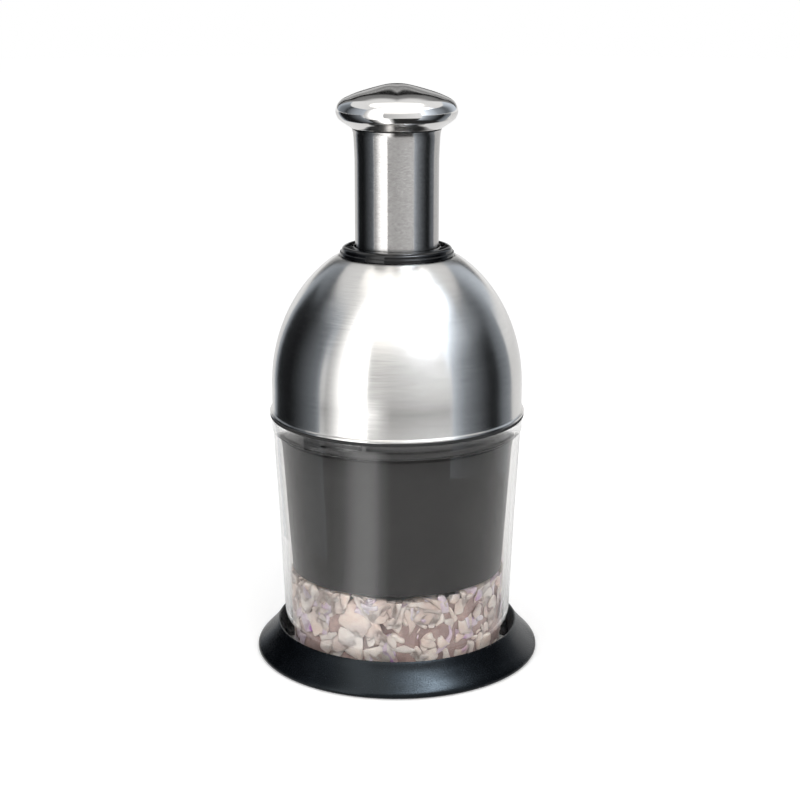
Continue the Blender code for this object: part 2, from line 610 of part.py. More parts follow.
def make_housing_liner(group, cutters):
    flange_radius = DOME_RADIUS - DOME_WALL - FIT_GAP
    ledge_top = SKIRT_FOOT_Z + LEDGE_HEIGHT
    outline = [(BOSS_BORE_RADIUS, BOSS_TOP_Z), (BOSS_RADIUS, BOSS_TOP_Z), (BOSS_RADIUS, DECK_TOP_Z),
               (flange_radius, DECK_TOP_Z), (flange_radius, RIM_Z), (SKIRT_RADIUS, RIM_Z),
               (SKIRT_RADIUS, SKIRT_FOOT_Z), (LEDGE_RADIUS, SKIRT_FOOT_Z), (LEDGE_RADIUS, ledge_top),
               (SKIRT_BORE_RADIUS, ledge_top), (SKIRT_BORE_RADIUS, RIM_Z), (BOSS_RADIUS, RIM_Z),
               (BOSS_RADIUS, BOSS_FOOT_Z), (BOSS_RECESS_RADIUS, BOSS_FOOT_Z),
               (BOSS_RECESS_RADIUS, RIM_Z), (BOSS_BORE_RADIUS, RIM_Z)]
    liner = turned("housing_liner", outline, group)
    hole_top = BOSS_FOOT_Z + SCREW_LENGTH
    holes = [cylinder(f"liner_hole_{number}", SCREW_RADIUS + FIT_GAP, BOSS_FOOT_Z - CUT_OVERRUN,
                      hole_top, cutters, place, SMALL_STEPS // 2)
             for number, place in enumerate(screw_places())]
    return combine(liner, slot_cutters(cutters) + holes, "DIFFERENCE", cutters)


def make_guide_collar(group, cutters):
    ring_radius = COLLAR_FLANGE_RADIUS - COLLAR_STEP
    lip_bore = BUSH_BORE_RADIUS + COLLAR_LIP_CLEARANCE - BUSH_CLEARANCE
    lip_z = COLLAR_TOP_Z - COLLAR_LIP_THICKNESS
    step_z = COLLAR_Z + COLLAR_STEP_HEIGHT
    spigot_foot = BUSH_FOOT_Z + SPIGOT_SETBACK
    outline = [(lip_bore, COLLAR_TOP_Z), (ring_radius - COLLAR_EDGE, COLLAR_TOP_Z),
               (ring_radius, COLLAR_TOP_Z - COLLAR_EDGE), (ring_radius, step_z + COLLAR_EDGE),
               (COLLAR_FLANGE_RADIUS, step_z), (COLLAR_FLANGE_RADIUS, COLLAR_Z),
               (SPIGOT_RADIUS, COLLAR_Z), (SPIGOT_RADIUS, spigot_foot),
               (SPIGOT_BORE_RADIUS, spigot_foot), (SPIGOT_BORE_RADIUS, lip_z), (lip_bore, lip_z)]
    collar = turned("guide_collar", outline, group, MEDIUM_STEPS)
    reach = BUSH_RADIUS - TUBE_RADIUS
    size = (reach, COLLAR_NOTCH_WIDTH, COLLAR_NOTCH_DEPTH * 2)
    notches = [box(f"collar_notch_{number}", size, (TUBE_RADIUS + reach / 2, 0.0, COLLAR_TOP_Z),
                   cutters, angle) for number, angle in enumerate(around(2))]
    return combine(collar, notches, "DIFFERENCE", cutters)


def make_guide_nut(group, cutters):
    top_z = DOME_SEAT_Z - DOME_WALL - FIT_GAP
    return ring("guide_nut", SPIGOT_RADIUS + FIT_GAP, DOME_SEAT_RADIUS - GUIDE_NUT_MARGIN,
                top_z - GUIDE_NUT_HEIGHT, top_z, group, MEDIUM_STEPS)


def make_guide_bush(group, cutters):
    return ring("guide_bush", BUSH_BORE_RADIUS, BUSH_RADIUS, BUSH_FOOT_Z, BUSH_TOP_Z, group, MEDIUM_STEPS)


def make_index_ring(group, cutters):
    flange_top = INDEX_FOOT_Z + INDEX_FLANGE_THICKNESS
    outline = [(INDEX_BORE_RADIUS, INDEX_TOP_Z), (INDEX_RADIUS, INDEX_TOP_Z), (INDEX_RADIUS, flange_top),
               (INDEX_FLANGE_RADIUS, flange_top), (INDEX_FLANGE_RADIUS, INDEX_FOOT_Z),
               (INDEX_BORE_RADIUS, INDEX_FOOT_Z)]
    index_ring = turned("index_ring", outline, group, MEDIUM_STEPS)
    tip = HUB_RADIUS - GROOVE_DEPTH + SHAFT_CLEARANCE
    root = (INDEX_BORE_RADIUS + INDEX_RADIUS) / 2
    size = (root - tip, INDEX_LUG_WIDTH, INDEX_LUG_HEIGHT)
    centre = ((tip + root) / 2, 0.0, INDEX_LUG_Z + INDEX_LUG_HEIGHT / 2)
    lugs = [box(f"index_lug_{number}", size, centre, cutters, angle)
            for number, angle in enumerate(around(GROOVE_COUNT))]
    return combine(index_ring, lugs, "UNION", cutters)


def make_index_retainer(group, cutters):
    foot_z = RETAINER_TOP_Z - RETAINER_THICKNESS
    plate = ring("index_retainer", INDEX_BORE_RADIUS + FIT_GAP, BOSS_RADIUS, foot_z, RETAINER_TOP_Z,
                 group, MEDIUM_STEPS)
    holes = [cylinder(f"retainer_hole_{number}", SCREW_RADIUS + FIT_GAP, foot_z - CUT_OVERRUN,
                      RETAINER_TOP_Z + CUT_OVERRUN, cutters, place, SMALL_STEPS // 2)
             for number, place in enumerate(screw_places())]
    return combine(plate, holes, "DIFFERENCE", cutters)


def make_retainer_screws(group, cutters):
    head_top = RETAINER_TOP_Z - RETAINER_THICKNESS - FIT_GAP
    head_foot = head_top - SCREW_HEAD_HEIGHT
    outline = [(0.0, head_top + SCREW_LENGTH), (SCREW_RADIUS, head_top + SCREW_LENGTH),
               (SCREW_RADIUS, head_top), (SCREW_HEAD_RADIUS, head_top), (SCREW_HEAD_RADIUS, head_foot),
               (0.0, head_foot)]
    screws = []
    for number, (x, y) in enumerate(screw_places(), 1):
        screw = turned(f"retainer_screw_{number}", outline, group, SMALL_STEPS // 2, head_foot)
        screw.location.x = x
        screw.location.y = y
        screws.append(screw)
    return screws


def make_spring_seat_lower(group, cutters):
    return ring("spring_seat_lower", LOWER_SEAT_RADIUS - SPRING_SEAT_WIDTH, LOWER_SEAT_RADIUS,
                LOWER_SEAT_Z, LOWER_SEAT_Z + SPRING_SEAT_THICKNESS, group, MEDIUM_STEPS)


def make_spring_seat_upper(group, cutters):
    radius = CORE_RADIUS - UPPER_SEAT_MARGIN
    return ring("spring_seat_upper", radius - UPPER_SEAT_WIDTH, radius, UPPER_SEAT_Z,
                UPPER_SEAT_Z + SPRING_SEAT_THICKNESS, group, MEDIUM_STEPS)


def make_bumper_ring(group, cutters):
    return ring("bumper_ring", BUMPER_BORE_RADIUS, BUMPER_RADIUS, BOSS_TOP_Z + FIT_GAP, BUMPER_TOP_Z,
                group, MEDIUM_STEPS)


def make_return_spring(group, cutters):
    foot_z = LOWER_SEAT_Z + SPRING_SEAT_THICKNESS + FIT_GAP + SPRING_WIRE_RADIUS
    top_z = UPPER_SEAT_Z - FIT_GAP - SPRING_WIRE_RADIUS
    count = SPRING_TURNS * SPRING_POINTS_PER_TURN
    path = bpy.data.curves.new("return_spring", "CURVE")
    path.dimensions = "3D"
    path.bevel_depth = SPRING_WIRE_RADIUS
    path.bevel_resolution = 2
    path.use_fill_caps = True
    spline = path.splines.new("POLY")
    spline.points.add(count)
    for index, point in enumerate(spline.points):
        share = index / count
        turn = share * SPRING_TURNS * math.tau
        point.co = (SPRING_RADIUS * math.cos(turn), SPRING_RADIUS * math.sin(turn),
                    share * (top_z - foot_z), 1)
    spring = bpy.data.objects.new("return_spring", path)
    spring.location.z = foot_z
    group.objects.link(spring)
    return spring


def make_plunger_tube(group, cutters):
    flare = [(TUBE_RADIUS + out * TUBE_FLARE, TUBE_TOP_Z - down * TUBE_FLARE_HEIGHT)
             for down, out in TUBE_FLARE_SHARES]
    foot_top = TUBE_FOOT_Z + TUBE_FOOT_HEIGHT
    outline = [*flare, (TUBE_RADIUS, foot_top), (TUBE_FOOT_RADIUS, foot_top),
               (TUBE_FOOT_RADIUS, TUBE_FOOT_Z), (TUBE_BORE_RADIUS, TUBE_FOOT_Z),
               (TUBE_BORE_RADIUS, TUBE_TOP_Z)]
    return turned("plunger_tube", outline, group, MEDIUM_STEPS)


def knob_outline():
    points = [(across * KNOB_RADIUS, KNOB_Z + up * KNOB_HEIGHT) for across, up in KNOB_OUTLINE_SHARES]
    return [*points, (TUBE_RADIUS + TUBE_FLARE, KNOB_Z)]


def make_knob_shell(group, cutters):
    outer = knob_outline()
    return turned("knob_shell", [*outer, *reversed(inset(outer, KNOB_WALL))], group)


def make_knob_core(group, cutters):
    bulb = inset(knob_outline()[:-1], KNOB_WALL + FIT_GAP)
    plug = [inset(knob_outline(), KNOB_WALL + FIT_GAP)[-2], (CORE_RADIUS, KNOB_Z),
            (CORE_RADIUS, PLUG_FOOT_Z)]
    bore = CORE_SCREW_RADIUS + FIT_GAP
    pocket = CORE_SCREW_HEAD_RADIUS + FIT_GAP
    tops = [(radius, height) for radius, height in bulb[:-1] if radius > pocket]
    top_z = tops[0][1]
    outline = [(pocket, top_z), *tops, *plug, (bore, PLUG_FOOT_Z), (bore, KNOB_Z), (pocket, KNOB_Z)]
    return turned("knob_core", outline, group, MEDIUM_STEPS)


def make_core_screw(group, cutters):
    head_foot = KNOB_Z + FIT_GAP
    outline = [(0.0, head_foot + CORE_SCREW_HEAD_HEIGHT),
               (CORE_SCREW_HEAD_RADIUS, head_foot + CORE_SCREW_HEAD_HEIGHT),
               (CORE_SCREW_HEAD_RADIUS, head_foot), (CORE_SCREW_RADIUS, head_foot),
               (CORE_SCREW_RADIUS, CORE_TOP_Z - CORE_SCREW_BITE), (0.0, CORE_TOP_Z - CORE_SCREW_BITE)]
    return turned("core_screw", outline, group, SMALL_STEPS)


def make_plunger_core(group, cutters):
    bore = SHAFT_SHOULDER_RADIUS + FIT_GAP
    bore_top = CORE_FOOT_Z + SHAFT_ENGAGEMENT + FIT_GAP
    screw_bore = CORE_SCREW_RADIUS + FIT_GAP
    screw_foot = CORE_TOP_Z - CORE_SCREW_BITE - FIT_GAP
    outline = [(0.0, screw_foot), (screw_bore, screw_foot), (screw_bore, CORE_TOP_Z),
               (CORE_RADIUS, CORE_TOP_Z), (CORE_RADIUS, CORE_FOOT_Z), (bore, CORE_FOOT_Z),
               (bore, bore_top), (0.0, bore_top)]
    core = turned("plunger_core", outline, group, MEDIUM_STEPS)
    return combine(core, [pin_cutter("core_pin_hole", cutters)], "DIFFERENCE", cutters)


def cross_pin(name, radius, length, group, sides):
    """Level cylinder along X through the shaft's cross hole."""
    def build(work):
        bmesh.ops.create_cone(work, cap_ends=True, segments=sides, radius1=radius, radius2=radius,
                              depth=length, matrix=Matrix.Rotation(math.pi / 2, 4, "Y"))
    return mesh_object(name, build, group, CORE_FOOT_Z + PIN_SETBACK)


def pin_cutter(name, cutters):
    return cross_pin(name, PIN_RADIUS + FIT_GAP, TUBE_RADIUS * 2, cutters, SMALL_STEPS // 2)


def make_shaft_pin(group, cutters):
    return cross_pin("shaft_pin", PIN_RADIUS, CORE_RADIUS * 2 - FIT_GAP * 2, group, SMALL_STEPS // 2)


def make_drive_shaft(group, cutters):
    top_z = CORE_FOOT_Z + SHAFT_ENGAGEMENT
    outline = [(0.0, top_z), (SHAFT_SHOULDER_RADIUS, top_z), (SHAFT_SHOULDER_RADIUS, SHAFT_SHOULDER_Z),
               (SHAFT_RADIUS, SHAFT_SHOULDER_Z), (SHAFT_RADIUS, SHAFT_NUT_Z), (0.0, SHAFT_NUT_Z)]
    shaft = turned("drive_shaft", outline, group, SMALL_STEPS)
    return combine(shaft, [pin_cutter("shaft_pin_hole", cutters)], "DIFFERENCE", cutters)


def make_thrust_washers(group, cutters):
    bore = SHAFT_RADIUS + FIT_GAP
    return [ring(name, bore, WASHER_RADIUS, foot_z, foot_z + WASHER_THICKNESS, group, SMALL_STEPS)
            for name, foot_z in (("thrust_washer_upper", UPPER_WASHER_Z),
                                 ("thrust_washer_lower", LOWER_WASHER_Z))]


def make_shaft_nut(group, cutters):
    bore = SHAFT_RADIUS + FIT_GAP
    radius = WASHER_RADIUS - SHAFT_NUT_SETBACK
    nut = cylinder("shaft_nut", radius, SHAFT_NUT_Z, SHAFT_NUT_Z + SHAFT_NUT_HEIGHT, group,
                   sides=SHAFT_NUT_SIDES)
    hole = cylinder("nut_hole", bore, SHAFT_NUT_Z - CUT_OVERRUN, LOWER_WASHER_Z + CUT_OVERRUN, cutters)
    return combine(nut, [hole], "DIFFERENCE", cutters)


def groove_outline():
    """Outline of the hub: arcs of its round broken by straight-sided grooves."""
    half = math.asin(GROOVE_WIDTH / 2 / HUB_RADIUS)
    floor = HUB_RADIUS - GROOVE_DEPTH
    points = []
    for angle in around(GROOVE_COUNT):
        across = Vector((math.cos(angle), math.sin(angle)))
        side = Vector((-across.y, across.x)) * (GROOVE_WIDTH / 2)
        points += [across * floor - side, across * floor + side]
        span = math.tau / GROOVE_COUNT - half * 2
        for index in range(GROOVE_SPAN_POINTS):
            turn = angle + half + span * index / (GROOVE_SPAN_POINTS - 1)
            points.append(Vector((math.cos(turn), math.sin(turn))) * HUB_RADIUS)
    return points


def twisted_bar(name, foot_z, top_z, group):
    """Grooved bar whose outline turns back by the twist rate as it rises."""
    lug_z = INDEX_LUG_Z + INDEX_LUG_HEIGHT / 2
    rise = (top_z - foot_z) / HUB_STEPS

    def build(work):
        face = work.faces.new([work.verts.new((*point, 0)) for point in groove_outline()])
        first_turn = Matrix.Rotation(-TWIST_RATE * (foot_z - lug_z), 4, "Z")
        bmesh.ops.transform(work, matrix=first_turn, verts=face.verts)
        for index in range(HUB_STEPS):
            grown = bmesh.ops.extrude_face_region(work, geom=[face])
            if index > 0:
                bmesh.ops.delete(work, geom=[face], context="FACES_ONLY")
            face = next(item for item in grown["geom"] if isinstance(item, bmesh.types.BMFace))
            step = Matrix.Translation((0, 0, rise)) @ Matrix.Rotation(-TWIST_RATE * rise, 4, "Z")
            bmesh.ops.transform(work, matrix=step, verts=face.verts)
    return mesh_object(name, build, group, foot_z)


def rivet_places():
    return [(RIVET_CIRCLE_RADIUS * math.cos(angle), RIVET_CIRCLE_RADIUS * math.sin(angle))
            for angle in around(RIVET_COUNT)]


def rivet_holes(name, foot_z, top_z, cutters):
    return [cylinder(f"{name}_{number}", RIVET_RADIUS + FIT_GAP, foot_z - CUT_OVERRUN,
                     top_z + CUT_OVERRUN, cutters, place, SMALL_STEPS // 2)
            for number, place in enumerate(rivet_places())]


def make_spiral_hub(group, cutters):
    hub = twisted_bar("spiral_hub", HUB_FLANGE_TOP_Z - CUT_OVERRUN, HUB_TOP_Z, group)
    flange = cylinder("hub_flange", HUB_FLANGE_RADIUS, HUB_FOOT_Z, HUB_FLANGE_TOP_Z, cutters,
                      sides=MEDIUM_STEPS)
    bore = cylinder("hub_bore", SHAFT_BORE_RADIUS, HUB_FOOT_Z - CUT_OVERRUN, HUB_TOP_Z + CUT_OVERRUN,
                    cutters)
    combine(hub, [flange], "UNION", cutters)
    holes = rivet_holes("hub_rivet_hole", HUB_FOOT_Z, HUB_FLANGE_TOP_Z, cutters)
    return combine(hub, [bore, *holes], "DIFFERENCE", cutters)


def zigzag_ribbon(name, thickness, foot_z, top_z, extra, group):
    """Upright folded strip; its ends run on by an extra length."""
    path = zigzag_path()
    path[0] = path[0] + (path[0] - path[1]).normalized() * extra
    path[-1] = path[-1] + (path[-1] - path[-2]).normalized() * extra
    mesh = bpy.data.meshes.new(name)
    work = bmesh.new()
    verts = [work.verts.new((point.x, point.y, 0)) for point in path]
    edges = [work.edges.new(pair) for pair in zip(verts, verts[1:])]
    grown = bmesh.ops.extrude_edge_only(work, edges=edges)
    raised = [item for item in grown["geom"] if isinstance(item, bmesh.types.BMVert)]
    bmesh.ops.translate(work, verts=raised, vec=(0, 0, top_z - foot_z))
    work.to_mesh(mesh)
    work.free()
    strip = add_object(name, mesh, group, foot_z)
    wall = strip.modifiers.new("Thickness", "SOLIDIFY")
    wall.thickness = thickness
    wall.offset = 0
    wall.use_even_offset = True
    return strip


def make_zigzag_blade(group, cutters):
    top_z = CARRIER_Z + BLADE_SOCKET_DEPTH - FIT_GAP
    return zigzag_ribbon("zigzag_blade", BLADE_THICKNESS, BLADE_FOOT_Z, top_z, 0.0, group)


def make_blade_carrier(group, cutters):
    carrier = cylinder("blade_carrier", CARRIER_RADIUS, CARRIER_Z, CARRIER_TOP_Z, group, sides=LARGE_STEPS)
    bore = cylinder("carrier_bore", SHAFT_BORE_RADIUS, CARRIER_Z - CUT_OVERRUN,
                    CARRIER_TOP_Z + CUT_OVERRUN, cutters)
    socket = zigzag_ribbon("carrier_socket", BLADE_THICKNESS + FIT_GAP * 2, CARRIER_Z - CUT_OVERRUN,
                           CARRIER_Z + BLADE_SOCKET_DEPTH, FIT_GAP, cutters)
    holes = rivet_holes("carrier_rivet_hole", CARRIER_Z, CARRIER_TOP_Z, cutters)
    return combine(carrier, [bore, socket, *holes], "DIFFERENCE", cutters)


def make_carrier_rivets(group, cutters):
    foot_z = CARRIER_Z - FIT_GAP
    top_z = HUB_FLANGE_TOP_Z + FIT_GAP
    outline = [(0.0, top_z + RIVET_HEAD_HEIGHT), (RIVET_HEAD_RADIUS, top_z + RIVET_HEAD_HEIGHT),
               (RIVET_HEAD_RADIUS, top_z), (RIVET_RADIUS, top_z), (RIVET_RADIUS, foot_z),
               (RIVET_HEAD_RADIUS, foot_z), (RIVET_HEAD_RADIUS, foot_z - RIVET_HEAD_HEIGHT),
               (0.0, foot_z - RIVET_HEAD_HEIGHT)]
    rivets = []
    for number, (x, y) in enumerate(rivet_places(), 1):
        rivet = turned(f"carrier_rivet_{number}", outline, group, SMALL_STEPS // 2)
        rivet.location.x = x
        rivet.location.y = y
        rivets.append(rivet)
    return rivets


def make_wiper_sleeve(group, cutters):
    bead_foot = SKIRT_FOOT_Z + LEDGE_HEIGHT + SLEEVE_HANG_GAP
    bead_top = bead_foot + BEAD_HEIGHT
    neck_bore = NECK_RADIUS - SLEEVE_WALL
    shoulder_foot = SLEEVE_SHOULDER_Z - SLEEVE_WALL
    lip_bore = SLEEVE_FOOT_BORE_RADIUS - SLEEVE_LIP_WIDTH
    outline = [(neck_bore, bead_top), (BEAD_RADIUS, bead_top), (BEAD_RADIUS, bead_foot),
               (NECK_RADIUS, bead_foot), (NECK_RADIUS, SLEEVE_SHOULDER_Z),
               (SLEEVE_TOP_RADIUS, SLEEVE_SHOULDER_Z), (SLEEVE_FOOT_RADIUS, SLEEVE_FOOT_Z),
               (lip_bore, SLEEVE_FOOT_Z), (lip_bore, SLEEVE_LIP_TOP_Z),
               (SLEEVE_FOOT_BORE_RADIUS, SLEEVE_LIP_TOP_Z),
               (SLEEVE_TOP_RADIUS - SLEEVE_WALL, shoulder_foot), (neck_bore, shoulder_foot)]
    return turned("wiper_sleeve", outline, group)


def make_wiper_plate(group, cutters):
    plate = cylinder("wiper_plate", PLATE_RADIUS, PLATE_Z, PLATE_TOP_Z, group, sides=LARGE_STEPS)
    slot = zigzag_ribbon("plate_slot", BLADE_THICKNESS + BLADE_SLOT_CLEARANCE * 2, PLATE_Z - CUT_OVERRUN,
                         PLATE_TOP_Z + CUT_OVERRUN, BLADE_SLOT_CLEARANCE, cutters)
    return combine(plate, [slot], "DIFFERENCE", cutters)


# Finishes as colour, roughness, metallic and transmission
FINISHES = {
    "black_satin_plastic": ((0.014, 0.015, 0.017), 0.45, 0.0, 0.0),
    "black_gloss_plastic": ((0.008, 0.008, 0.009), 0.18, 0.0, 0.0),
    "dark_sleeve_plastic": ((0.045, 0.041, 0.038), 0.40, 0.0, 0.0),
    "clear_plastic": ((0.92, 0.93, 0.93), 0.06, 0.0, 1.0),
    "black_rubber": ((0.012, 0.012, 0.012), 0.80, 0.0, 0.0),
    "white_board_plastic": ((0.75, 0.74, 0.71), 0.50, 0.0, 0.0),
    "natural_acetal": ((0.70, 0.69, 0.64), 0.40, 0.0, 0.0),
    "brushed_steel": ((0.58, 0.57, 0.56), 0.30, 1.0, 0.0),
    "polished_steel": ((0.66, 0.65, 0.64), 0.08, 1.0, 0.0),
    "spring_steel": ((0.42, 0.42, 0.43), 0.28, 1.0, 0.0),
}

# Each body: its maker functions with their finishes
BODIES = {
    "base": (0.0, ((make_base_cap, "black_satin_plastic"), (make_grip_ring, "black_rubber"),
                   (make_cup_seal, "black_rubber"), (make_chopping_board, "white_board_plastic"))),
    "cup": (CUP_FOOT_Z, ((make_clear_cup, "clear_plastic"),)),
    "housing": (RIM_Z, ((make_rim_gasket, "black_rubber"), (make_dome_shell, "brushed_steel"),
                        (make_housing_liner, "black_gloss_plastic"),
                        (make_guide_collar, "black_gloss_plastic"),
                        (make_guide_nut, "black_satin_plastic"), (make_guide_bush, "natural_acetal"),
                        (make_index_ring, "natural_acetal"), (make_index_retainer, "spring_steel"),
                        (make_retainer_screws, "spring_steel"),
                        (make_spring_seat_lower, "spring_steel"), (make_bumper_ring, "black_rubber"),
                        (make_return_spring, "spring_steel"))),
    "sleeve": (SLEEVE_SHOULDER_Z, ((make_wiper_sleeve, "dark_sleeve_plastic"),
                                   (make_wiper_plate, "dark_sleeve_plastic"))),
    "plunger": (TUBE_FOOT_Z, ((make_plunger_tube, "brushed_steel"), (make_knob_shell, "polished_steel"),
                              (make_knob_core, "black_satin_plastic"), (make_core_screw, "spring_steel"),
                              (make_plunger_core, "black_satin_plastic"), (make_shaft_pin, "spring_steel"),
                              (make_drive_shaft, "spring_steel"),
                              (make_spring_seat_upper, "spring_steel"),
                              (make_thrust_washers, "spring_steel"), (make_shaft_nut, "spring_steel"))),
    "blade_head": (CARRIER_Z, ((make_spiral_hub, "natural_acetal"),
                               (make_blade_carrier, "black_satin_plastic"),
                               (make_zigzag_blade, "polished_steel"),
                               (make_carrier_rivets, "spring_steel"))),
}


def main():
    clear_scene()
    group = new_collection("vegetable_chopper")
    cutters = new_collection("cutters")
    finishes = {name: finish(name, *values) for name, values in FINISHES.items()}
    for body, (axis_z, makers) in BODIES.items():
        frame = bpy.data.objects.new(f"{body}_frame", None)
        frame.location.z = axis_z
        group.objects.link(frame)
        for maker, finish_name in makers:
            made = maker(group, cutters)
            for item in made if isinstance(made, list) else [made]:
                item.data.materials.append(finishes[finish_name])
                item.parent = frame
                item.location.z -= axis_z


main()
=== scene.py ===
# Press-down vegetable chopper, dressed over its CAD frame for a studio picture.
# Outlines are (radius, height) in millimetres and repeat the size and place of the node that they replace.

import json
import math
import random

import bmesh
import bpy
from mathutils import Matrix, Vector, noise


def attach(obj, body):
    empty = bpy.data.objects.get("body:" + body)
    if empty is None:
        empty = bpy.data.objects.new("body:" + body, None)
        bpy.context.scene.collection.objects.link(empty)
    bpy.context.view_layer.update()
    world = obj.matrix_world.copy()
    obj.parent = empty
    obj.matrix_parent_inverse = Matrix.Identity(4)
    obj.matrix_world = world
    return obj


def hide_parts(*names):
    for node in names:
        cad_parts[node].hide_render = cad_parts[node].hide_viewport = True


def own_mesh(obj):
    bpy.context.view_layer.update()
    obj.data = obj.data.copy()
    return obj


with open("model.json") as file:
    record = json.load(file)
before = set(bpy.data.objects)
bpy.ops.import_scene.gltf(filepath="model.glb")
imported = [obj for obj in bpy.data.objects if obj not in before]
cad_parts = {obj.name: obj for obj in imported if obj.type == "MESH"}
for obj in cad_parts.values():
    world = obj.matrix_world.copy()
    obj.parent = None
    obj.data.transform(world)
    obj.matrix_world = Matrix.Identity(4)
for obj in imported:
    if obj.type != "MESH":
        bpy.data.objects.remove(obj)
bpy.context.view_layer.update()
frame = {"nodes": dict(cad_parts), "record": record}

MM = 0.001
ROUND_STEPS = 144
SMALL_ROUND_STEPS = 96
DOME_ROUND_STEPS = 192
SHARP_ANGLE = math.radians(34)
WELD = 0.002 * MM

# Camera fitted to the photograph, in metres
CAMERA_PLACE = (0.00125, -0.6854, 0.2893)
CAMERA_PITCH = math.radians(75.13)
CAMERA_LENS = 77.2
CAMERA_SENSOR = 36.0

# Base. The measures from here to the coil are in millimetres and degrees
BASE_FLOOR = 4.2
BASE_LIFT = 0.4
BASE_SEAT = 47.6
BASE_OPENING = 49.75
BASE_RADIUS = 59.25
BASE_HEIGHT = 11.9
BASE_SLOPE_SHARES = ((0.00, 0.97), (0.07, 1.00), (0.28, 0.76), (0.59, 0.47), (0.88, 0.23),
                     (0.98, 0.13), (1.00, 0.05), (0.96, 0.00))
GRIP_RING = (46.65, 53.45, 0.0, 1.7)

# Cup
CUP_FOOT = 5.8
CUP_TOP = 102.3
CUP_BAND = 96.4
CUP_FOOT_RADIUS = 46.95
CUP_TAPER = 4.11
CUP_BAND_RADIUS = 51.6
CUP_BAND_STEP = 0.54
CUP_WALL = 2.0
CUP_FLARE_SHARES = ((0.00, 0.000), (0.38, 0.355), (0.60, 0.555), (0.82, 0.815), (1.00, 1.000))

# Bayonet: lugs on the cup's bore, and for each lug the cuts in the liner's skirt
LUG_ANGLES = (-111, 9, 129)
LUG_SPAN = 8.4
LUG_FOOT = 99.1
LUG_TOP = 101.1
LUG_REACH = 1.7
LUG_ROOT = 0.8
SKIRT_CUTS = (  # name, bore, radius, foot, top, start seen from the lug, angle
    ("slot_run", 46.6, 49.3, 98.7, 101.5, -27, 32),
    ("slot_entry", 46.6, 49.3, 95.4, 99.1, -27, 10),
    ("stop_groove", 48.1, 49.3, 95.4, 103.2, 7, 1.0),
)

# Housing
RIM = 103.5
DOME_RADIUS = 51.4
DOME_CENTRE = 115.0
DOME_CROWN = 60.3
DOME_WALL = 0.9
DOME_BLEND = 27.0
DOME_SEAT = 168.1
DOME_SEAT_EDGE = 23.3
DOME_HOLE = 21.2

# Plunger
TUBE_RADIUS = 16.9
TUBE_TOP = 218.7
KNOB_FOOT = 218.99
KNOB_HEIGHT = 17.5
KNOB_RADIUS = 24.3
KNOB_SHARES = ((0.000, 1.000), (0.160, 0.982), (0.350, 0.920), (0.635, 0.803), (0.815, 0.702),
               (0.905, 0.632), (0.973, 0.527), (1.000, 0.375), (0.970, 0.245), (0.920, 0.172),
               (0.823, 0.080))
KNOB_WALL = 1.0

# Coil of the return spring
COIL_TURNS = 9
COIL_TURN_STEPS = 28
COIL_SIDES = 12
COIL_FOOT = 114.6
COIL_TOP = 165.9
COIL_RADIUS = 12.6
COIL_WIRE_RADIUS = 0.7
COIL_CLOSED_TURN = 0.9

# Bevel of the blade's edges, in metres
BLADE_EDGE = 0.0001

# Chopped onion in the cup, in millimetres
ONION_SEED = 21
ONION_COUNT = 440
ONION_FLOOR = 7.75
ONION_TOP = 36.9
ONION_BORE = 37.8
ONION_WALL = CUP_FOOT_RADIUS - CUP_WALL
ONION_LOW = 9.0
ONION_LILAC_SHARE = 0.22
HEAP_DROP = 1.2
HEAP_SWELL = 4.0
BED_COLUMNS = 150
BED_DROP = 1.5
BED_HOLLOW = 9.0

# Studio, in metres. The world is a little dimmer as a light than as it is seen
LAMP_AIM = (0.0, 0.0, 0.1)
WORLD_LIGHT = 0.82
WORLD_SEEN = 1.0
FLOOR_RADIUS = 4.0
FLOOR_GLOW = 0.23
CARD_STEPS = 24
FLOOR_CARD_STEPS = 60
WHITE = (1.0, 1.0, 1.0)
WARM = (1.0, 0.985, 0.955)
COOL = (0.88, 0.96, 1.06)


# Node trees

def link(tree, source, target):
    tree.links.new(source, target)


def node(tree, kind, settings=None, **values):
    """New node with its settings, and values or links for its named sockets."""
    made = tree.nodes.new(kind)
    for key, value in (settings or {}).items():
        setattr(made, key, value)
    for key, value in values.items():
        socket = made.inputs[int(key[1:])] if key[1:].isdigit() else made.inputs[key.replace("_", " ")]
        if isinstance(value, bpy.types.NodeSocket):
            link(tree, value, socket)
        else:
            socket.default_value = value
    return made


def maths(tree, operation, first, second):
    made = node(tree, "ShaderNodeMath", {"operation": operation}, i0=first, i1=second)
    return made.outputs["Value"]


def span(tree, value, low, high, from_low=0.0, from_high=1.0):
    """Value that goes from low to high while the given one goes from from_low to from_high."""
    made = node(tree, "ShaderNodeMapRange", None, i0=value, i1=from_low, i2=from_high, i3=low, i4=high)
    return made.outputs["Result"]


def blended(tree, share, first, second):
    """Colour that goes from the first to the second with a share."""
    made = node(tree, "ShaderNodeMix", {"data_type": "RGBA"}, i0=share, i6=first, i7=second)
    return made.outputs[2]


def opaque(colour):
    return (*colour, 1.0)


def grain(tree, vector, scale, detail, roughness=0.6):
    made = node(tree, "ShaderNodeTexNoise", None, Vector=vector, Scale=scale, Detail=detail,
                Roughness=roughness)
    return made.outputs["Fac"]


def place(tree, scale=(1, 1, 1)):
    """Object coordinates, scaled for each axis."""
    source = node(tree, "ShaderNodeTexCoord")
    made = node(tree, "ShaderNodeMapping", None, Vector=source.outputs["Object"], Scale=scale)
    return made.outputs["Vector"]


def relief(tree, height, distance, strength):
    made = node(tree, "ShaderNodeBump", None, Height=height, Distance=distance, Strength=strength)
    return made.outputs["Normal"]


# Materials

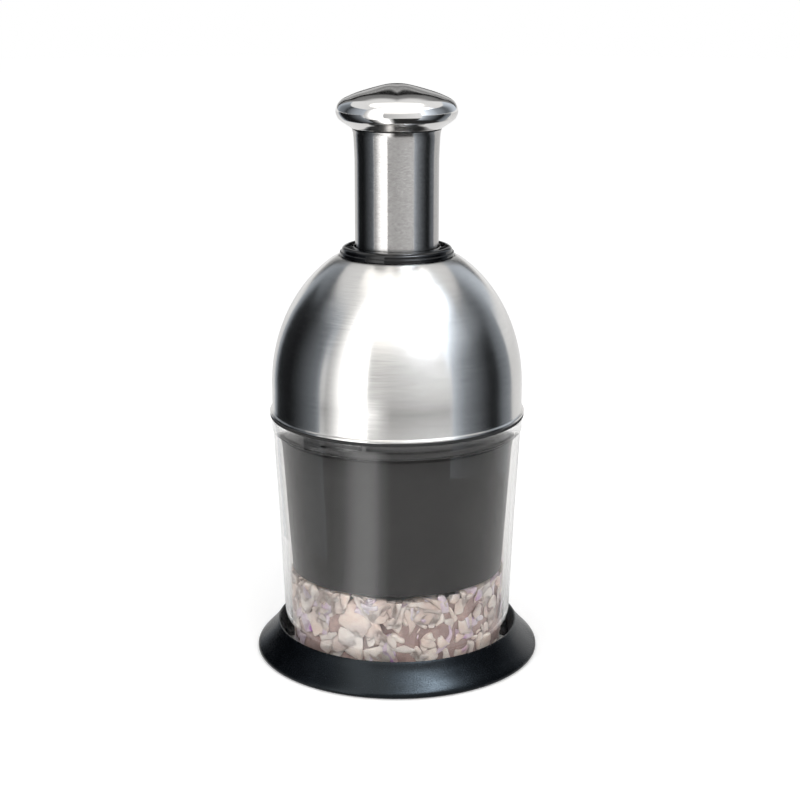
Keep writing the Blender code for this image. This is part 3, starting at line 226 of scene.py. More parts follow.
def finish(name, **sockets):
    """Principled material with its constants, its tree and the shader's sockets for links."""
    surface = bpy.data.materials.new(name)
    surface.use_nodes = True
    shader = surface.node_tree.nodes["Principled BSDF"]
    for key, value in sockets.items():
        shader.inputs[key.replace("_", " ")].default_value = value
    return surface, surface.node_tree, shader.inputs


def round_lines(tree, along, across):
    """Coordinates for lines that run round the axis: slow round it, fast along the turned outline."""
    source = node(tree, "ShaderNodeTexCoord")
    parts = node(tree, "ShaderNodeSeparateXYZ", None, Vector=source.outputs["Object"])
    rise = node(tree, "ShaderNodeSeparateXYZ", None, Vector=source.outputs["UV"])
    made = node(tree, "ShaderNodeCombineXYZ", None,
                X=maths(tree, "MULTIPLY", parts.outputs["X"], along),
                Y=maths(tree, "MULTIPLY", parts.outputs["Y"], along),
                Z=maths(tree, "MULTIPLY", rise.outputs["Y"], across))
    return made.outputs["Vector"]


def brushed_steel(name, dark, light, roughness, line_depth, along=90):
    """Stainless steel brushed round its axis, with handling marks."""
    surface, tree, inputs = finish(name, Metallic=1.0, Anisotropic=0.93, Anisotropic_Rotation=0.25)
    tangent = node(tree, "ShaderNodeTangent", {"direction_type": "RADIAL", "axis": "Z"})
    link(tree, tangent.outputs["Tangent"], inputs["Tangent"])
    fine = grain(tree, round_lines(tree, along, across=5200), 1.0, 2.0)
    broad = grain(tree, round_lines(tree, along * 0.27, across=1300), 1.0, 3.0)
    lines = maths(tree, "ADD", maths(tree, "MULTIPLY", fine, 0.82), maths(tree, "MULTIPLY", broad, 0.18))
    smudge = grain(tree, place(tree), 42.0, 4.0)
    tone = span(tree, lines, 0.0, 1.0, 0.30, 0.70)
    link(tree, blended(tree, tone, opaque(dark), opaque(light)), inputs["Base Color"])
    marks = maths(tree, "ADD", span(tree, lines, -0.03, 0.03, 0.3, 0.7), span(tree, smudge, -0.02, 0.03))
    link(tree, maths(tree, "ADD", marks, roughness), inputs["Roughness"])
    link(tree, relief(tree, lines, line_depth, 0.35), inputs["Normal"])
    return surface


def polished_steel(name):
    """Polished steel with faint turned lines and handling marks."""
    dull, bright = (0.66, 0.65, 0.64), (0.72, 0.71, 0.70)
    surface, tree, inputs = finish(name, Metallic=1.0)
    swirl = grain(tree, round_lines(tree, along=60, across=2400), 1.0, 3.0)
    smudge = grain(tree, place(tree), 90.0, 4.0)
    tone = span(tree, smudge, 0.0, 1.0, 0.35, 0.65)
    link(tree, blended(tree, tone, opaque(dull), opaque(bright)), inputs["Base Color"])
    marks = maths(tree, "ADD", span(tree, smudge, 0.05, 0.12, 0.3, 0.7), span(tree, swirl, -0.01, 0.03))
    link(tree, marks, inputs["Roughness"])
    link(tree, relief(tree, swirl, 0.000006, 0.3), inputs["Normal"])
    return surface


def plain_steel(name, colour, roughness, stretch):
    """Machined or rolled steel with fine lines and dull patches."""
    surface, tree, inputs = finish(name, Metallic=1.0)
    lines = grain(tree, place(tree, stretch), 1400.0, 3.0)
    patches = grain(tree, place(tree), 220.0, 4.0)
    dull = tuple(part * 0.78 for part in colour)
    tone = span(tree, patches, 0.0, 1.0, 0.35, 0.65)
    link(tree, blended(tree, tone, opaque(dull), opaque(colour)), inputs["Base Color"])
    link(tree, span(tree, lines, roughness - 0.07, roughness + 0.10, 0.3, 0.7), inputs["Roughness"])
    link(tree, relief(tree, lines, 0.00002, 0.4), inputs["Normal"])
    return surface


def moulded_plastic(name, colour, lifted, roughness, texture_scale, texture_depth, spread=0.06, shine=0.5,
                    shine_tint=WHITE):
    """Moulded plastic: a fine moulded texture, tone in slow patches, and lighter worn spots.

    Spread is how far the roughness varies, shine the strength of the reflection.
    """
    surface, tree, inputs = finish(name, Specular_IOR_Level=shine, Specular_Tint=opaque(shine_tint))
    texture = grain(tree, place(tree), texture_scale, 3.0)
    patches = grain(tree, place(tree), 70.0, 4.0)
    worn = grain(tree, place(tree), 1700.0, 2.0)
    tone = maths(tree, "MULTIPLY", span(tree, patches, 0.0, 1.0, 0.35, 0.70),
                 span(tree, worn, 0.35, 1.0, 0.35, 0.65))
    link(tree, blended(tree, tone, opaque(colour), opaque(lifted)), inputs["Base Color"])
    level = maths(tree, "ADD", span(tree, texture, -spread, spread, 0.3, 0.7),
                  span(tree, patches, roughness - spread / 2, roughness + spread / 2, 0.3, 0.7))
    link(tree, level, inputs["Roughness"])
    link(tree, relief(tree, texture, texture_depth, 0.6), inputs["Normal"])
    return surface


def clear_plastic(name):
    """Clear moulding with faint flow lines and handling haze."""
    clear, hazed = (1.0, 0.998, 0.992), (0.994, 0.984, 0.970)
    surface, tree, inputs = finish(name, Transmission_Weight=1.0, IOR=1.49)
    haze = grain(tree, place(tree), 60.0, 5.0)
    flow = grain(tree, place(tree, (1, 1, 0.25)), 55.0, 2.0)
    link(tree, blended(tree, haze, opaque(clear), opaque(hazed)), inputs["Base Color"])
    link(tree, span(tree, haze, 0.0, 0.055, 0.42, 0.75), inputs["Roughness"])
    link(tree, relief(tree, flow, 0.00012, 0.25), inputs["Normal"])
    return surface


def cutting_board(name):
    """Off-white board with knife marks in two directions and a little staining."""
    clean, stained = (0.75, 0.74, 0.71), (0.63, 0.59, 0.52)
    surface, tree, inputs = finish(name, Specular_IOR_Level=0.4)
    stain = grain(tree, place(tree), 85.0, 5.0)
    cuts = maths(tree, "MINIMUM", grain(tree, place(tree, (1, 14, 1)), 160.0, 2.0),
                 grain(tree, place(tree, (14, 1, 1)), 160.0, 2.0))
    tone = span(tree, stain, 0.0, 1.0, 0.45, 0.80)
    link(tree, blended(tree, tone, opaque(clean), opaque(stained)), inputs["Base Color"])
    link(tree, span(tree, cuts, 0.62, 0.42, 0.2, 0.5), inputs["Roughness"])
    link(tree, relief(tree, span(tree, cuts, 0.0, 1.0, 0.22, 0.34), 0.0002, 0.5), inputs["Normal"])
    return surface


def honed_blade(name, foot, width):
    """Rolled strip with lines along it and a bright ground edge at its foot."""
    rolled, ground = (0.55, 0.55, 0.56), (0.78, 0.78, 0.79)
    surface, tree, inputs = finish(name, Metallic=1.0)
    source = node(tree, "ShaderNodeTexCoord")
    parts = node(tree, "ShaderNodeSeparateXYZ", None, Vector=source.outputs["Object"])
    edge = span(tree, parts.outputs["Z"], 1.0, 0.0, foot + width * 0.8, foot + width)
    lines = grain(tree, place(tree, (1, 1, 40)), 120.0, 3.0)
    link(tree, blended(tree, edge, opaque(rolled), opaque(ground)), inputs["Base Color"])
    level = maths(tree, "SUBTRACT", span(tree, lines, 0.20, 0.36, 0.3, 0.7),
                  maths(tree, "MULTIPLY", edge, 0.08))
    link(tree, level, inputs["Roughness"])
    link(tree, relief(tree, lines, 0.00003, 0.4), inputs["Normal"])
    return surface


def onion_flesh(name, pale, deep, skin, skin_share):
    """Wet onion: layered pale flesh with fibres, and skin colour in patches on some of it."""
    surface, tree, inputs = finish(name, Subsurface_Weight=0.7, Subsurface_Scale=0.004, IOR=1.36,
                                   Specular_IOR_Level=0.35)
    inputs["Subsurface Radius"].default_value = (0.8, 0.8, 0.75)
    geometry = node(tree, "ShaderNodeNewGeometry")
    island = geometry.outputs["Random Per Island"]
    veins = grain(tree, place(tree, (1, 1, 3)), 420.0, 5.0, 0.7)
    layers = grain(tree, place(tree), 150.0, 4.0, 0.65)
    spots = grain(tree, place(tree), 75.0, 3.0)
    both = maths(tree, "ADD", island, span(tree, layers, 0.0, 1.0, 0.35, 0.65))
    share = maths(tree, "MULTIPLY", both, 0.5)
    flesh = blended(tree, span(tree, share, 0.0, 1.0, 0.25, 0.75), opaque(pale), opaque(deep))
    streaked = blended(tree, span(tree, veins, 0.0, 0.30, 0.50, 0.80), flesh, opaque(skin))
    patch = maths(tree, "MULTIPLY", span(tree, spots, 0.0, 1.0, 0.52, 0.60),
                  span(tree, island, 0.0, 0.95, 1.0 - skin_share * 1.6, 1.0 - skin_share * 0.6))
    link(tree, blended(tree, patch, streaked, opaque(skin)), inputs["Base Color"])
    link(tree, span(tree, veins, 0.24, 0.50, 0.3, 0.7), inputs["Roughness"])
    folds = maths(tree, "ADD", maths(tree, "MULTIPLY", layers, 0.7), maths(tree, "MULTIPLY", veins, 0.3))
    link(tree, relief(tree, folds, 0.0005, 0.7), inputs["Normal"])
    return surface


# Outlines and meshes

def smooth_path(points, count):
    """Catmull-Rom curve through the points that never passes their own extremes."""
    points = [Vector(point) for point in points]
    low = [min(point[axis] for point in points) for axis in (0, 1)]
    high = [max(point[axis] for point in points) for axis in (0, 1)]
    padded = [points[0] * 2 - points[1], *points, points[-1] * 2 - points[-2]]
    path = []
    for before, here, there, after in zip(padded, padded[1:], padded[2:], padded[3:]):
        for step in range(count):
            t = step / count
            spot = 0.5 * (here * 2 + (there - before) * t
                          + (before * 2 - here * 5 + there * 4 - after) * t ** 2
                          + (here * 3 - before - there * 3 + after) * t ** 3)
            path.append(tuple(min(max(spot[axis], low[axis]), high[axis]) for axis in (0, 1)))
    return [*path, tuple(points[-1])]


def softened(outline, depth=0.3, count=4):
    """Closed outline with each corner rounded by about a depth."""
    points = [Vector(point) for point in outline]
    path = []
    for index, here in enumerate(points):
        before = points[index - 1]
        after = points[(index + 1) % len(points)]
        if here.x == 0:
            path.append(tuple(here))
            continue
        back = min(depth, (before - here).length * 0.45)
        on = min(depth, (after - here).length * 0.45)
        start = here + (before - here).normalized() * back
        end = here + (after - here).normalized() * on
        for step in range(count + 1):
            t = step / count
            path.append(tuple(start * (1 - t) ** 2 + here * (2 * t * (1 - t)) + end * t ** 2))
    return path


def inward(path, depth):
    """Path moved towards the axis side by a depth."""
    moved = []
    for index, (radius, height) in enumerate(path):
        before = Vector(path[max(index - 1, 0)])
        after = Vector(path[min(index + 1, len(path) - 1)])
        way = (after - before).normalized()
        moved.append((max(radius - depth * -way.y, 0.0), height - depth * way.x))
    return moved


def turned(name, outline, steps=ROUND_STEPS):
    """Smooth solid turned about Z from a closed outline, with its run length as the second UV."""
    count = len(outline)
    runs = [0.0]
    for here, there in zip(outline, outline[1:]):
        runs.append(runs[-1] + math.dist(here, there) * MM)
    closed = outline[0][0] > 0
    work = bmesh.new()
    columns = []
    poles = {index: work.verts.new((0, 0, height * MM))
             for index, (radius, height) in enumerate(outline) if radius == 0}
    for step in range(steps):
        angle = math.tau * step / steps
        x, y = math.cos(angle) * MM, math.sin(angle) * MM
        columns.append([poles.get(index) or work.verts.new((radius * x, radius * y, height * MM))
                        for index, (radius, height) in enumerate(outline)])
    layer = work.loops.layers.uv.new("UVMap")
    for step in range(steps):
        here, there = columns[step], columns[(step + 1) % steps]
        for index in range(count if closed else count - 1):
            after = (index + 1) % count
            corners = [(here[index], step, runs[index]), (there[index], step + 1, runs[index]),
                       (there[after], step + 1, runs[after]), (here[after], step, runs[after])]
            unique = [corner for number, corner in enumerate(corners)
                      if corner[0] not in [other[0] for other in corners[:number]]]
            if len(unique) < 3:
                continue
            face = work.faces.new([corner[0] for corner in unique])
            for loop, (_, column, run) in zip(face.loops, unique):
                loop[layer].uv = (column / steps, run)
    bmesh.ops.recalc_face_normals(work, faces=work.faces)
    return added(name, work)


def added(name, work):
    """Object from a bmesh, shaded smooth apart from its sharp corners."""
    mesh = bpy.data.meshes.new(name)
    work.to_mesh(mesh)
    work.free()
    mesh.shade_smooth()
    mesh.set_sharp_from_angle(angle=SHARP_ANGLE)
    item = bpy.data.objects.new(name, mesh)
    bpy.context.scene.collection.objects.link(item)
    return item


def arc_block(name, bore, radius, foot, top, start, angle):
    """Block between two radii and two heights, swept about Z by an angle in degrees."""
    work = bmesh.new()
    section = ((bore, foot), (radius, foot), (radius, top), (bore, top))
    across = Vector((math.cos(math.radians(start)), math.sin(math.radians(start)), 0))
    face = work.faces.new([work.verts.new((across * r + Vector((0, 0, z))) * MM) for r, z in section])
    bmesh.ops.spin(work, geom=[face, *face.edges, *face.verts], axis=(0, 0, 1), cent=(0, 0, 0),
                   angle=math.radians(angle), steps=max(3, round(angle / 2)), use_duplicate=False)
    bmesh.ops.recalc_face_normals(work, faces=work.faces)
    return added(name, work)


def block(name, size, centre):
    work = bmesh.new()
    bmesh.ops.create_cube(work, size=1, matrix=Matrix.Translation(Vector(centre) * MM)
                          @ Matrix.Diagonal((*(Vector(size) * MM), 1)))
    return added(name, work)


def shaped(piece, tools, operation):
    """Boolean of a piece with tools, settled into its mesh and welded; the tools are removed."""
    for tool in tools:
        change = piece.modifiers.new(tool.name, "BOOLEAN")
        change.operation = operation
        change.solver = "EXACT"
        change.object = tool
    graph = bpy.context.evaluated_depsgraph_get()
    mesh = bpy.data.meshes.new_from_object(piece.evaluated_get(graph))
    work = bmesh.new()
    work.from_mesh(mesh)
    bmesh.ops.remove_doubles(work, verts=work.verts, dist=WELD)
    bmesh.ops.dissolve_degenerate(work, edges=work.edges, dist=WELD)
    work.to_mesh(mesh)
    work.free()
    piece.modifiers.clear()
    piece.data = mesh
    mesh.set_sharp_from_angle(angle=SHARP_ANGLE)
    for tool in tools:
        bpy.data.objects.remove(tool, do_unlink=True)
    return piece


def dressed(piece, body, surface, slot, *nodes):
    """Gives a piece its material and body, and lets it stand for its nodes. The slot is not used."""
    piece.data.materials.clear()
    piece.data.materials.append(surface)
    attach(piece, body)
    if nodes:
        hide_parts(*nodes)
    return piece


# Pieces of the chopper, and what it holds

def cup_radius(height):
    """Outer radius of the cup's side at a height."""
    share = (height - CUP_FOOT) / (CUP_BAND - CUP_FOOT)
    for (low, low_growth), (high, high_growth) in zip(CUP_FLARE_SHARES, CUP_FLARE_SHARES[1:]):
        if share <= high:
            part = (share - low) / (high - low)
            return CUP_FOOT_RADIUS + CUP_TAPER * (low_growth + part * (high_growth - low_growth))
    return CUP_FOOT_RADIUS + CUP_TAPER


def build_base(looks):
    slope = smooth_path([(BASE_OPENING + across * (BASE_RADIUS - BASE_OPENING), BASE_LIFT + up * BASE_HEIGHT)
                         for across, up in BASE_SLOPE_SHARES], 5)
    seat = [(0.0, BASE_FLOOR), (BASE_SEAT - 0.4, BASE_FLOOR), (BASE_SEAT, BASE_FLOOR + 0.3),
            (BASE_SEAT, 6.7), (BASE_SEAT + 0.3, 7.0)]
    foot = [(53.75, BASE_LIFT), (53.75, 2.0), (46.35, 2.0), (46.35, BASE_LIFT), (0.0, BASE_LIFT)]
    cap = turned("base_cap_shell", [*seat, *slope, *foot])
    dressed(cap, "base", looks["base_black"], "base_black", "base_cap")
    bore, radius, low, high = GRIP_RING
    middle = (bore + radius) / 2
    grip_outline = [(bore, low), (middle - 0.5, low), (middle - 0.2, low + 0.3), (middle + 0.2, low + 0.3),
                    (middle + 0.5, low), (radius, low), (radius, high), (bore, high)]
    grip = turned("grip_ring_soft", softened(grip_outline, 0.2, 3))
    dressed(grip, "base", looks["rubber_black"], "rubber_black", "base_grip_ring")
    board_outline = [(0.0, 7.7), (43.35, 7.7), (43.7, 7.55), (43.85, 7.2), (43.85, 4.8), (43.6, 4.5),
                     (0.0, 4.5)]
    board = turned("board_disc", board_outline)
    dressed(board, "base", looks["board_white"], "board_white", "chopping_board")
    seal_outline = [(44.55, 4.5), (46.95, 4.5), (46.95, 5.5), (44.55, 5.5)]
    seal = turned("foot_seal", softened(seal_outline, 0.3, 3))
    dressed(seal, "base", looks["rubber_black"], "rubber_black", "cup_seal")


def build_cup(looks):
    heights = [CUP_FOOT + share * (CUP_BAND - CUP_FOOT) for share, _ in CUP_FLARE_SHARES]
    side = smooth_path([(cup_radius(height), height) for height in heights], 6)
    inner = [(radius - CUP_WALL, height) for radius, height in side]
    foot = [(CUP_FOOT_RADIUS - CUP_WALL + 0.5, CUP_FOOT), (CUP_FOOT_RADIUS - 0.6, CUP_FOOT),
            (CUP_FOOT_RADIUS - 0.2, CUP_FOOT + 0.2)]
    inner[0] = (inner[0][0], CUP_FOOT + 0.5)
    side[0] = (side[0][0], CUP_FOOT + 0.6)
    bore = CUP_BAND_RADIUS - CUP_BAND_STEP - CUP_WALL
    band = [(CUP_BAND_RADIUS - 0.15, CUP_BAND + 0.25), (CUP_BAND_RADIUS, CUP_BAND + 0.5),
            (CUP_BAND_RADIUS, CUP_TOP - 0.4), (CUP_BAND_RADIUS - 0.12, CUP_TOP - 0.12),
            (CUP_BAND_RADIUS - 0.4, CUP_TOP), (bore + 0.3, CUP_TOP), (bore, CUP_TOP - 0.3)]
    cup = turned("cup_wall", [*foot, *side, *band, *reversed(inner)])
    lugs = [arc_block(f"lug_{number}", bore - LUG_REACH, bore + LUG_ROOT, LUG_FOOT, LUG_TOP,
                      angle - LUG_SPAN / 2, LUG_SPAN)
            for number, angle in enumerate(LUG_ANGLES)]
    shaped(cup, lugs, "UNION")
    dressed(cup, "cup", looks["clear_plastic"], "clear_plastic", "clear_cup")
    cup.visible_shadow = False


def dome_crown(radius, height, end, count):
    """Points of the elliptical crown from its side up to a radius."""
    last = math.acos(end / radius)
    return [(radius * math.cos(last * index / count), DOME_CENTRE + height * math.sin(last * index / count))
            for index in range(count + 1)]


def build_dome(looks):
    lip = [(51.9, RIM), (52.25, RIM + 0.08), (52.4, RIM + 0.3), (52.4, RIM + 0.7), (52.28, RIM + 0.95),
           (51.8, RIM + 1.15), (51.5, RIM + 1.4), (DOME_RADIUS, RIM + 1.9)]
    outer = dome_crown(DOME_RADIUS, DOME_CROWN, DOME_BLEND, 34)
    seat = [(26.1, 166.85), (25.2, 167.35), (24.4, 167.75), (23.8, 168.0), (DOME_SEAT_EDGE, DOME_SEAT),
            (DOME_HOLE, DOME_SEAT), (DOME_HOLE, DOME_SEAT - DOME_WALL),
            (DOME_SEAT_EDGE, DOME_SEAT - DOME_WALL)]
    inner = dome_crown(DOME_RADIUS - DOME_WALL, DOME_CROWN - DOME_WALL, DOME_BLEND - 0.4, 20)
    path = [(DOME_RADIUS - DOME_WALL, RIM), *lip, *outer, *seat, *reversed(inner)]
    dome = turned("dome_skin", path, DOME_ROUND_STEPS)
    dressed(dome, "housing", looks["dome_steel"], "dome_steel", "dome_shell")


def build_liner(looks):
    outline = [(12.5, 112.5), (20.5, 112.5), (20.5, 106.0), (50.2, 106.0), (50.2, RIM), (48.5, RIM),
               (48.5, 96.2), (45.4, 96.2), (45.4, 97.4), (46.9, 97.4), (46.9, RIM), (20.5, RIM),
               (20.5, 101.6), (14.2, 101.6), (14.2, RIM), (12.5, RIM)]
    liner = turned("liner_moulding", softened(outline, 0.15, 2))
    cuts = [arc_block(f"{name}_{number}", bore, radius, foot, top, angle + start, sweep)
            for number, angle in enumerate(LUG_ANGLES)
            for name, bore, radius, foot, top, start, sweep in SKIRT_CUTS]
    shaped(liner, cuts, "DIFFERENCE")
    dressed(liner, "housing", looks["liner_black"], "gloss_black", "housing_liner")
    gasket_outline = [(48.8, 102.36), (52.3, 102.36), (52.3, 103.44), (48.8, 103.44)]
    gasket = turned("gasket_soft", softened(gasket_outline, 0.2, 3))
    dressed(gasket, "housing", looks["rubber_black"], "rubber_black", "rim_gasket")


def build_collar(looks):
    outline = [(17.5, 172.0), (20.3, 172.0), (21.2, 171.85), (21.9, 171.45), (22.3, 170.85), (22.4, 169.8),
               (23.1, 169.8), (23.1, 168.4), (20.6, 168.4), (20.6, 153.0), (19.5, 153.0), (19.5, 170.6),
               (17.5, 170.6)]
    collar = turned("collar_gloss", softened(outline, 0.35, 4), SMALL_ROUND_STEPS)
    notches = [block(f"notch_{number}", (2.3, 3.0, 1.8), (side * 18.05, 0, 172.0))
               for number, side in enumerate((-1, 1))]
    shaped(collar, notches, "DIFFERENCE")
    dressed(collar, "housing", looks["gloss_black"], "gloss_black", "guide_collar")


def build_plunger(looks):
    flare = smooth_path([(TUBE_RADIUS + out, TUBE_TOP - down * 12.0)
                         for down, out in ((0.00, 1.00), (0.17, 0.50), (0.58, 0.20), (1.00, 0.00))], 6)
    tube_outline = [*flare, (TUBE_RADIUS, 152.1), (TUBE_RADIUS + 0.2, 151.9), (18.7, 151.9), (18.9, 151.7),
                    (18.9, 148.2), (18.7, 148.0), (15.8, 148.0), (15.8, TUBE_TOP)]
    tube = turned("tube_brushed", tube_outline, SMALL_ROUND_STEPS)
    dressed(tube, "plunger", looks["tube_steel"], "tube_steel", "plunger_tube")
    outer = smooth_path([(across * KNOB_RADIUS, KNOB_FOOT + up * KNOB_HEIGHT) for across, up in KNOB_SHARES]
                        + [(TUBE_RADIUS + 1.0, KNOB_FOOT)], 7)
    inner = inward(outer, KNOB_WALL)
    inner[0] = (0.0, KNOB_FOOT + KNOB_HEIGHT - KNOB_WALL)
    inner[-1] = (TUBE_RADIUS, KNOB_FOOT)
    knob = turned("knob_polished", [*outer, *reversed(inner)])
    dressed(knob, "plunger", looks["knob_steel"], "knob_steel", "knob_shell")


def build_sleeve(looks):
    outline = [(43.2, 99.0), (46.4, 99.0), (46.4, 97.8), (44.8, 97.8), (44.8, 95.8), (47.1, 95.8),
               (47.1, 94.7), (47.92, 94.7), (43.96, 37.8), (41.16, 37.8), (41.16, 38.6), (42.36, 38.6),
               (46.4, 94.2), (43.2, 94.2)]
    sleeve = turned("sleeve_moulding", softened(outline, 0.25, 3))
    dressed(sleeve, "sleeve", looks["sleeve_dark"], "sleeve_dark", "wiper_sleeve")


def build_spring(looks):
    """Coil of the return spring, with closed end turns."""
    work = bmesh.new()
    rings = []
    for index in range(COIL_TURNS * COIL_TURN_STEPS + 1):
        share = index / (COIL_TURNS * COIL_TURN_STEPS)
        rise = (share * COIL_TURNS - COIL_CLOSED_TURN) / (COIL_TURNS - 2 * COIL_CLOSED_TURN)
        height = COIL_FOOT + min(max(rise, 0.0), 1.0) * (COIL_TOP - COIL_FOOT)
        angle = share * COIL_TURNS * math.tau
        out = Vector((math.cos(angle), math.sin(angle), 0))
        centre = out * COIL_RADIUS + Vector((0, 0, height))
        ring = []
        for side in range(COIL_SIDES):
            turn = math.tau * side / COIL_SIDES
            edge = out * math.cos(turn) + Vector((0, 0, math.sin(turn)))
            ring.append(work.verts.new((centre + edge * COIL_WIRE_RADIUS) * MM))
        rings.append(ring)
    for here, there in zip(rings, rings[1:]):
        for side in range(COIL_SIDES):
            after = (side + 1) % COIL_SIDES
            work.faces.new((here[side], here[after], there[after], there[side]))
    work.faces.new(rings[0])
    work.faces.new(rings[-1])
    bmesh.ops.recalc_face_normals(work, faces=work.faces)
    coil = added("spring_coil", work)
    dressed(coil, "housing", looks["hardware_steel"], "hardware_steel", "return_spring")
    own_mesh(coil)


def kept_in(spot, top, slack):
    """Point moved to lie between the blade's path and the cup's wall, and above the board.

    The limit is the cup's foot, so that the cup clears the heap as it lifts, and the board's edge low down.
    """
    spot.z = min(max(spot.z, ONION_FLOOR), top)
    limit = ONION_WALL - (slack if spot.z > ONION_LOW else slack + 1.0)
    reach = math.hypot(spot.x, spot.y)
    kept = min(max(reach, ONION_BORE), limit)
    spot.x *= kept / reach
    spot.y *= kept / reach
    return spot


def heap_top(angle):
    """Height of the heap round the cup."""
    swell = noise.noise(Vector((math.cos(angle) * 1.6, math.sin(angle) * 1.6, 3.7)))
    return ONION_TOP - HEAP_DROP + swell * HEAP_SWELL


def onion_flake(work, dice, centre, top):
    """Adds one curved, ragged flake of onion layer."""
    length = 4.2 * math.exp(dice.uniform(0.0, 1.30))
    width = length * dice.uniform(0.50, 0.95)
    depth = dice.uniform(1.2, 2.8)
    bend = dice.uniform(6.0, 30.0)
    before = len(work.verts)
    grown = bmesh.ops.create_cube(work, size=1)
    edges = list(dict.fromkeys(edge for vert in grown["verts"] for edge in vert.link_edges))
    bmesh.ops.subdivide_edges(work, edges=edges, cuts=2, use_grid_fill=True)
    work.verts.ensure_lookup_table()
    outward = Matrix.Rotation(math.atan2(centre.y, centre.x), 3, "Z") @ Matrix.Rotation(math.pi / 2, 3, "Y")
    tilt = Matrix.Rotation(dice.gauss(0, 0.55), 3, "X") @ Matrix.Rotation(dice.gauss(0, 0.55), 3, "Y")
    facing = outward @ tilt @ Matrix.Rotation(dice.uniform(0, math.tau), 3, "Z")
    shift = Vector((dice.uniform(0, 90), dice.uniform(0, 90), dice.uniform(0, 90)))
    for vert in work.verts[before:]:
        spot = Vector((vert.co.x * length, vert.co.y * width, vert.co.z * depth))
        spot.z -= spot.x ** 2 / (2 * bend)
        spot += noise.noise_vector(spot * 0.26 + shift) * 2.4 + noise.noise_vector(spot * 1.1 + shift) * 0.6
        vert.co = kept_in(facing @ spot + centre, top, 0.2) * MM


def onion_bed(work):
    """Adds the fine, pressed mass behind the flakes, coloured darker as painted shade in their gaps: an
    uneven ring against the cup's wall.
    """
    grid = []
    for column in range(BED_COLUMNS):
        angle = math.tau * column / BED_COLUMNS
        across = Vector((math.cos(angle), math.sin(angle), 0))
        top = heap_top(angle) - BED_DROP
        hollow = max(0.0, noise.noise(across * 2.3 + Vector((0, 0, 8.1)))) * BED_HOLLOW
        wall = ONION_WALL - 0.6
        section = [(ONION_BORE, ONION_FLOOR), (wall - 1.5, ONION_FLOOR), (wall - 0.4, ONION_LOW),
                   (wall - 0.4 - hollow * 0.3, 17.0), (wall - hollow * 0.7, 25.0),
                   (wall - 0.8 - hollow, top - 2.0), (wall - 3.5 - hollow * 0.5, top),
                   (ONION_BORE + 1.5, top - 1.5), (ONION_BORE, top - 4.0)]
        path = smooth_path([*section, section[0]], 3)[:-2]
        spots = []
        for radius, height in path:
            spot = across * radius + Vector((0, 0, height))
            spot += noise.noise_vector(spot * 0.22) * 1.6 + noise.noise_vector(spot * 0.75) * 0.8
            spots.append(work.verts.new(kept_in(spot, top, 0.35) * MM))
        grid.append(spots)
    for here, there in zip(grid, [*grid[1:], grid[0]]):
        for index in range(len(here)):
            after = (index + 1) % len(here)
            work.faces.new((here[index], there[index], there[after], here[after]))


def build_onion(looks):
    """Chopped onion on the board: a fine mass, darker as painted shade, with flakes over it, clear of the
    blade in the middle.

    One flake in four lies on top of the heap, the others behind the cup's wall.
    """
    dice = random.Random(ONION_SEED)
    noise.seed_set(ONION_SEED)
    heaps = {"chopped_onion_bed_painted_shade": bmesh.new(), "chopped_onion_pale": bmesh.new(),
             "chopped_onion_lilac": bmesh.new()}
    onion_bed(heaps["chopped_onion_bed_painted_shade"])
    for number in range(ONION_COUNT):
        angle = dice.uniform(0, math.tau)
        top = heap_top(angle)
        height = dice.uniform(8.4, top - 0.8)
        if number % 4:
            reach = ONION_WALL - dice.uniform(0.2, 3.2)
        else:
            reach = dice.uniform(ONION_BORE + 1.0, ONION_WALL)
            height = top - dice.uniform(0.0, 2.5)
        centre = Vector((reach * math.cos(angle), reach * math.sin(angle), height))
        lilac = dice.random() < ONION_LILAC_SHARE
        heap = "chopped_onion_lilac" if lilac else "chopped_onion_pale"
        onion_flake(heaps[heap], dice, centre, min(top + 1.6, ONION_TOP))
    for name, work in heaps.items():
        bmesh.ops.recalc_face_normals(work, faces=work.faces)
        heap = added(name, work)
        rounder = heap.modifiers.new("Rounding", "SUBSURF")
        rounder.levels = 1
        rounder.render_levels = 1
        heap.data.materials.append(looks[name])
        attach(heap, "base")


# Looks

def dress_hidden_nodes(looks):
    """Gives every CAD node the material of its own slot, and the blade soft edges."""
    slots = {part["node"]: part["material_slot"] for part in frame["record"]["subparts"]}
    for name, item in frame["nodes"].items():
        item.data.materials.clear()
        item.data.materials.append(looks[slots[name]])
    edges = frame["nodes"]["zigzag_blade"].modifiers.new("Edges", "BEVEL")
    edges.width = BLADE_EDGE
    edges.segments = 2
    edges.limit_method = "ANGLE"


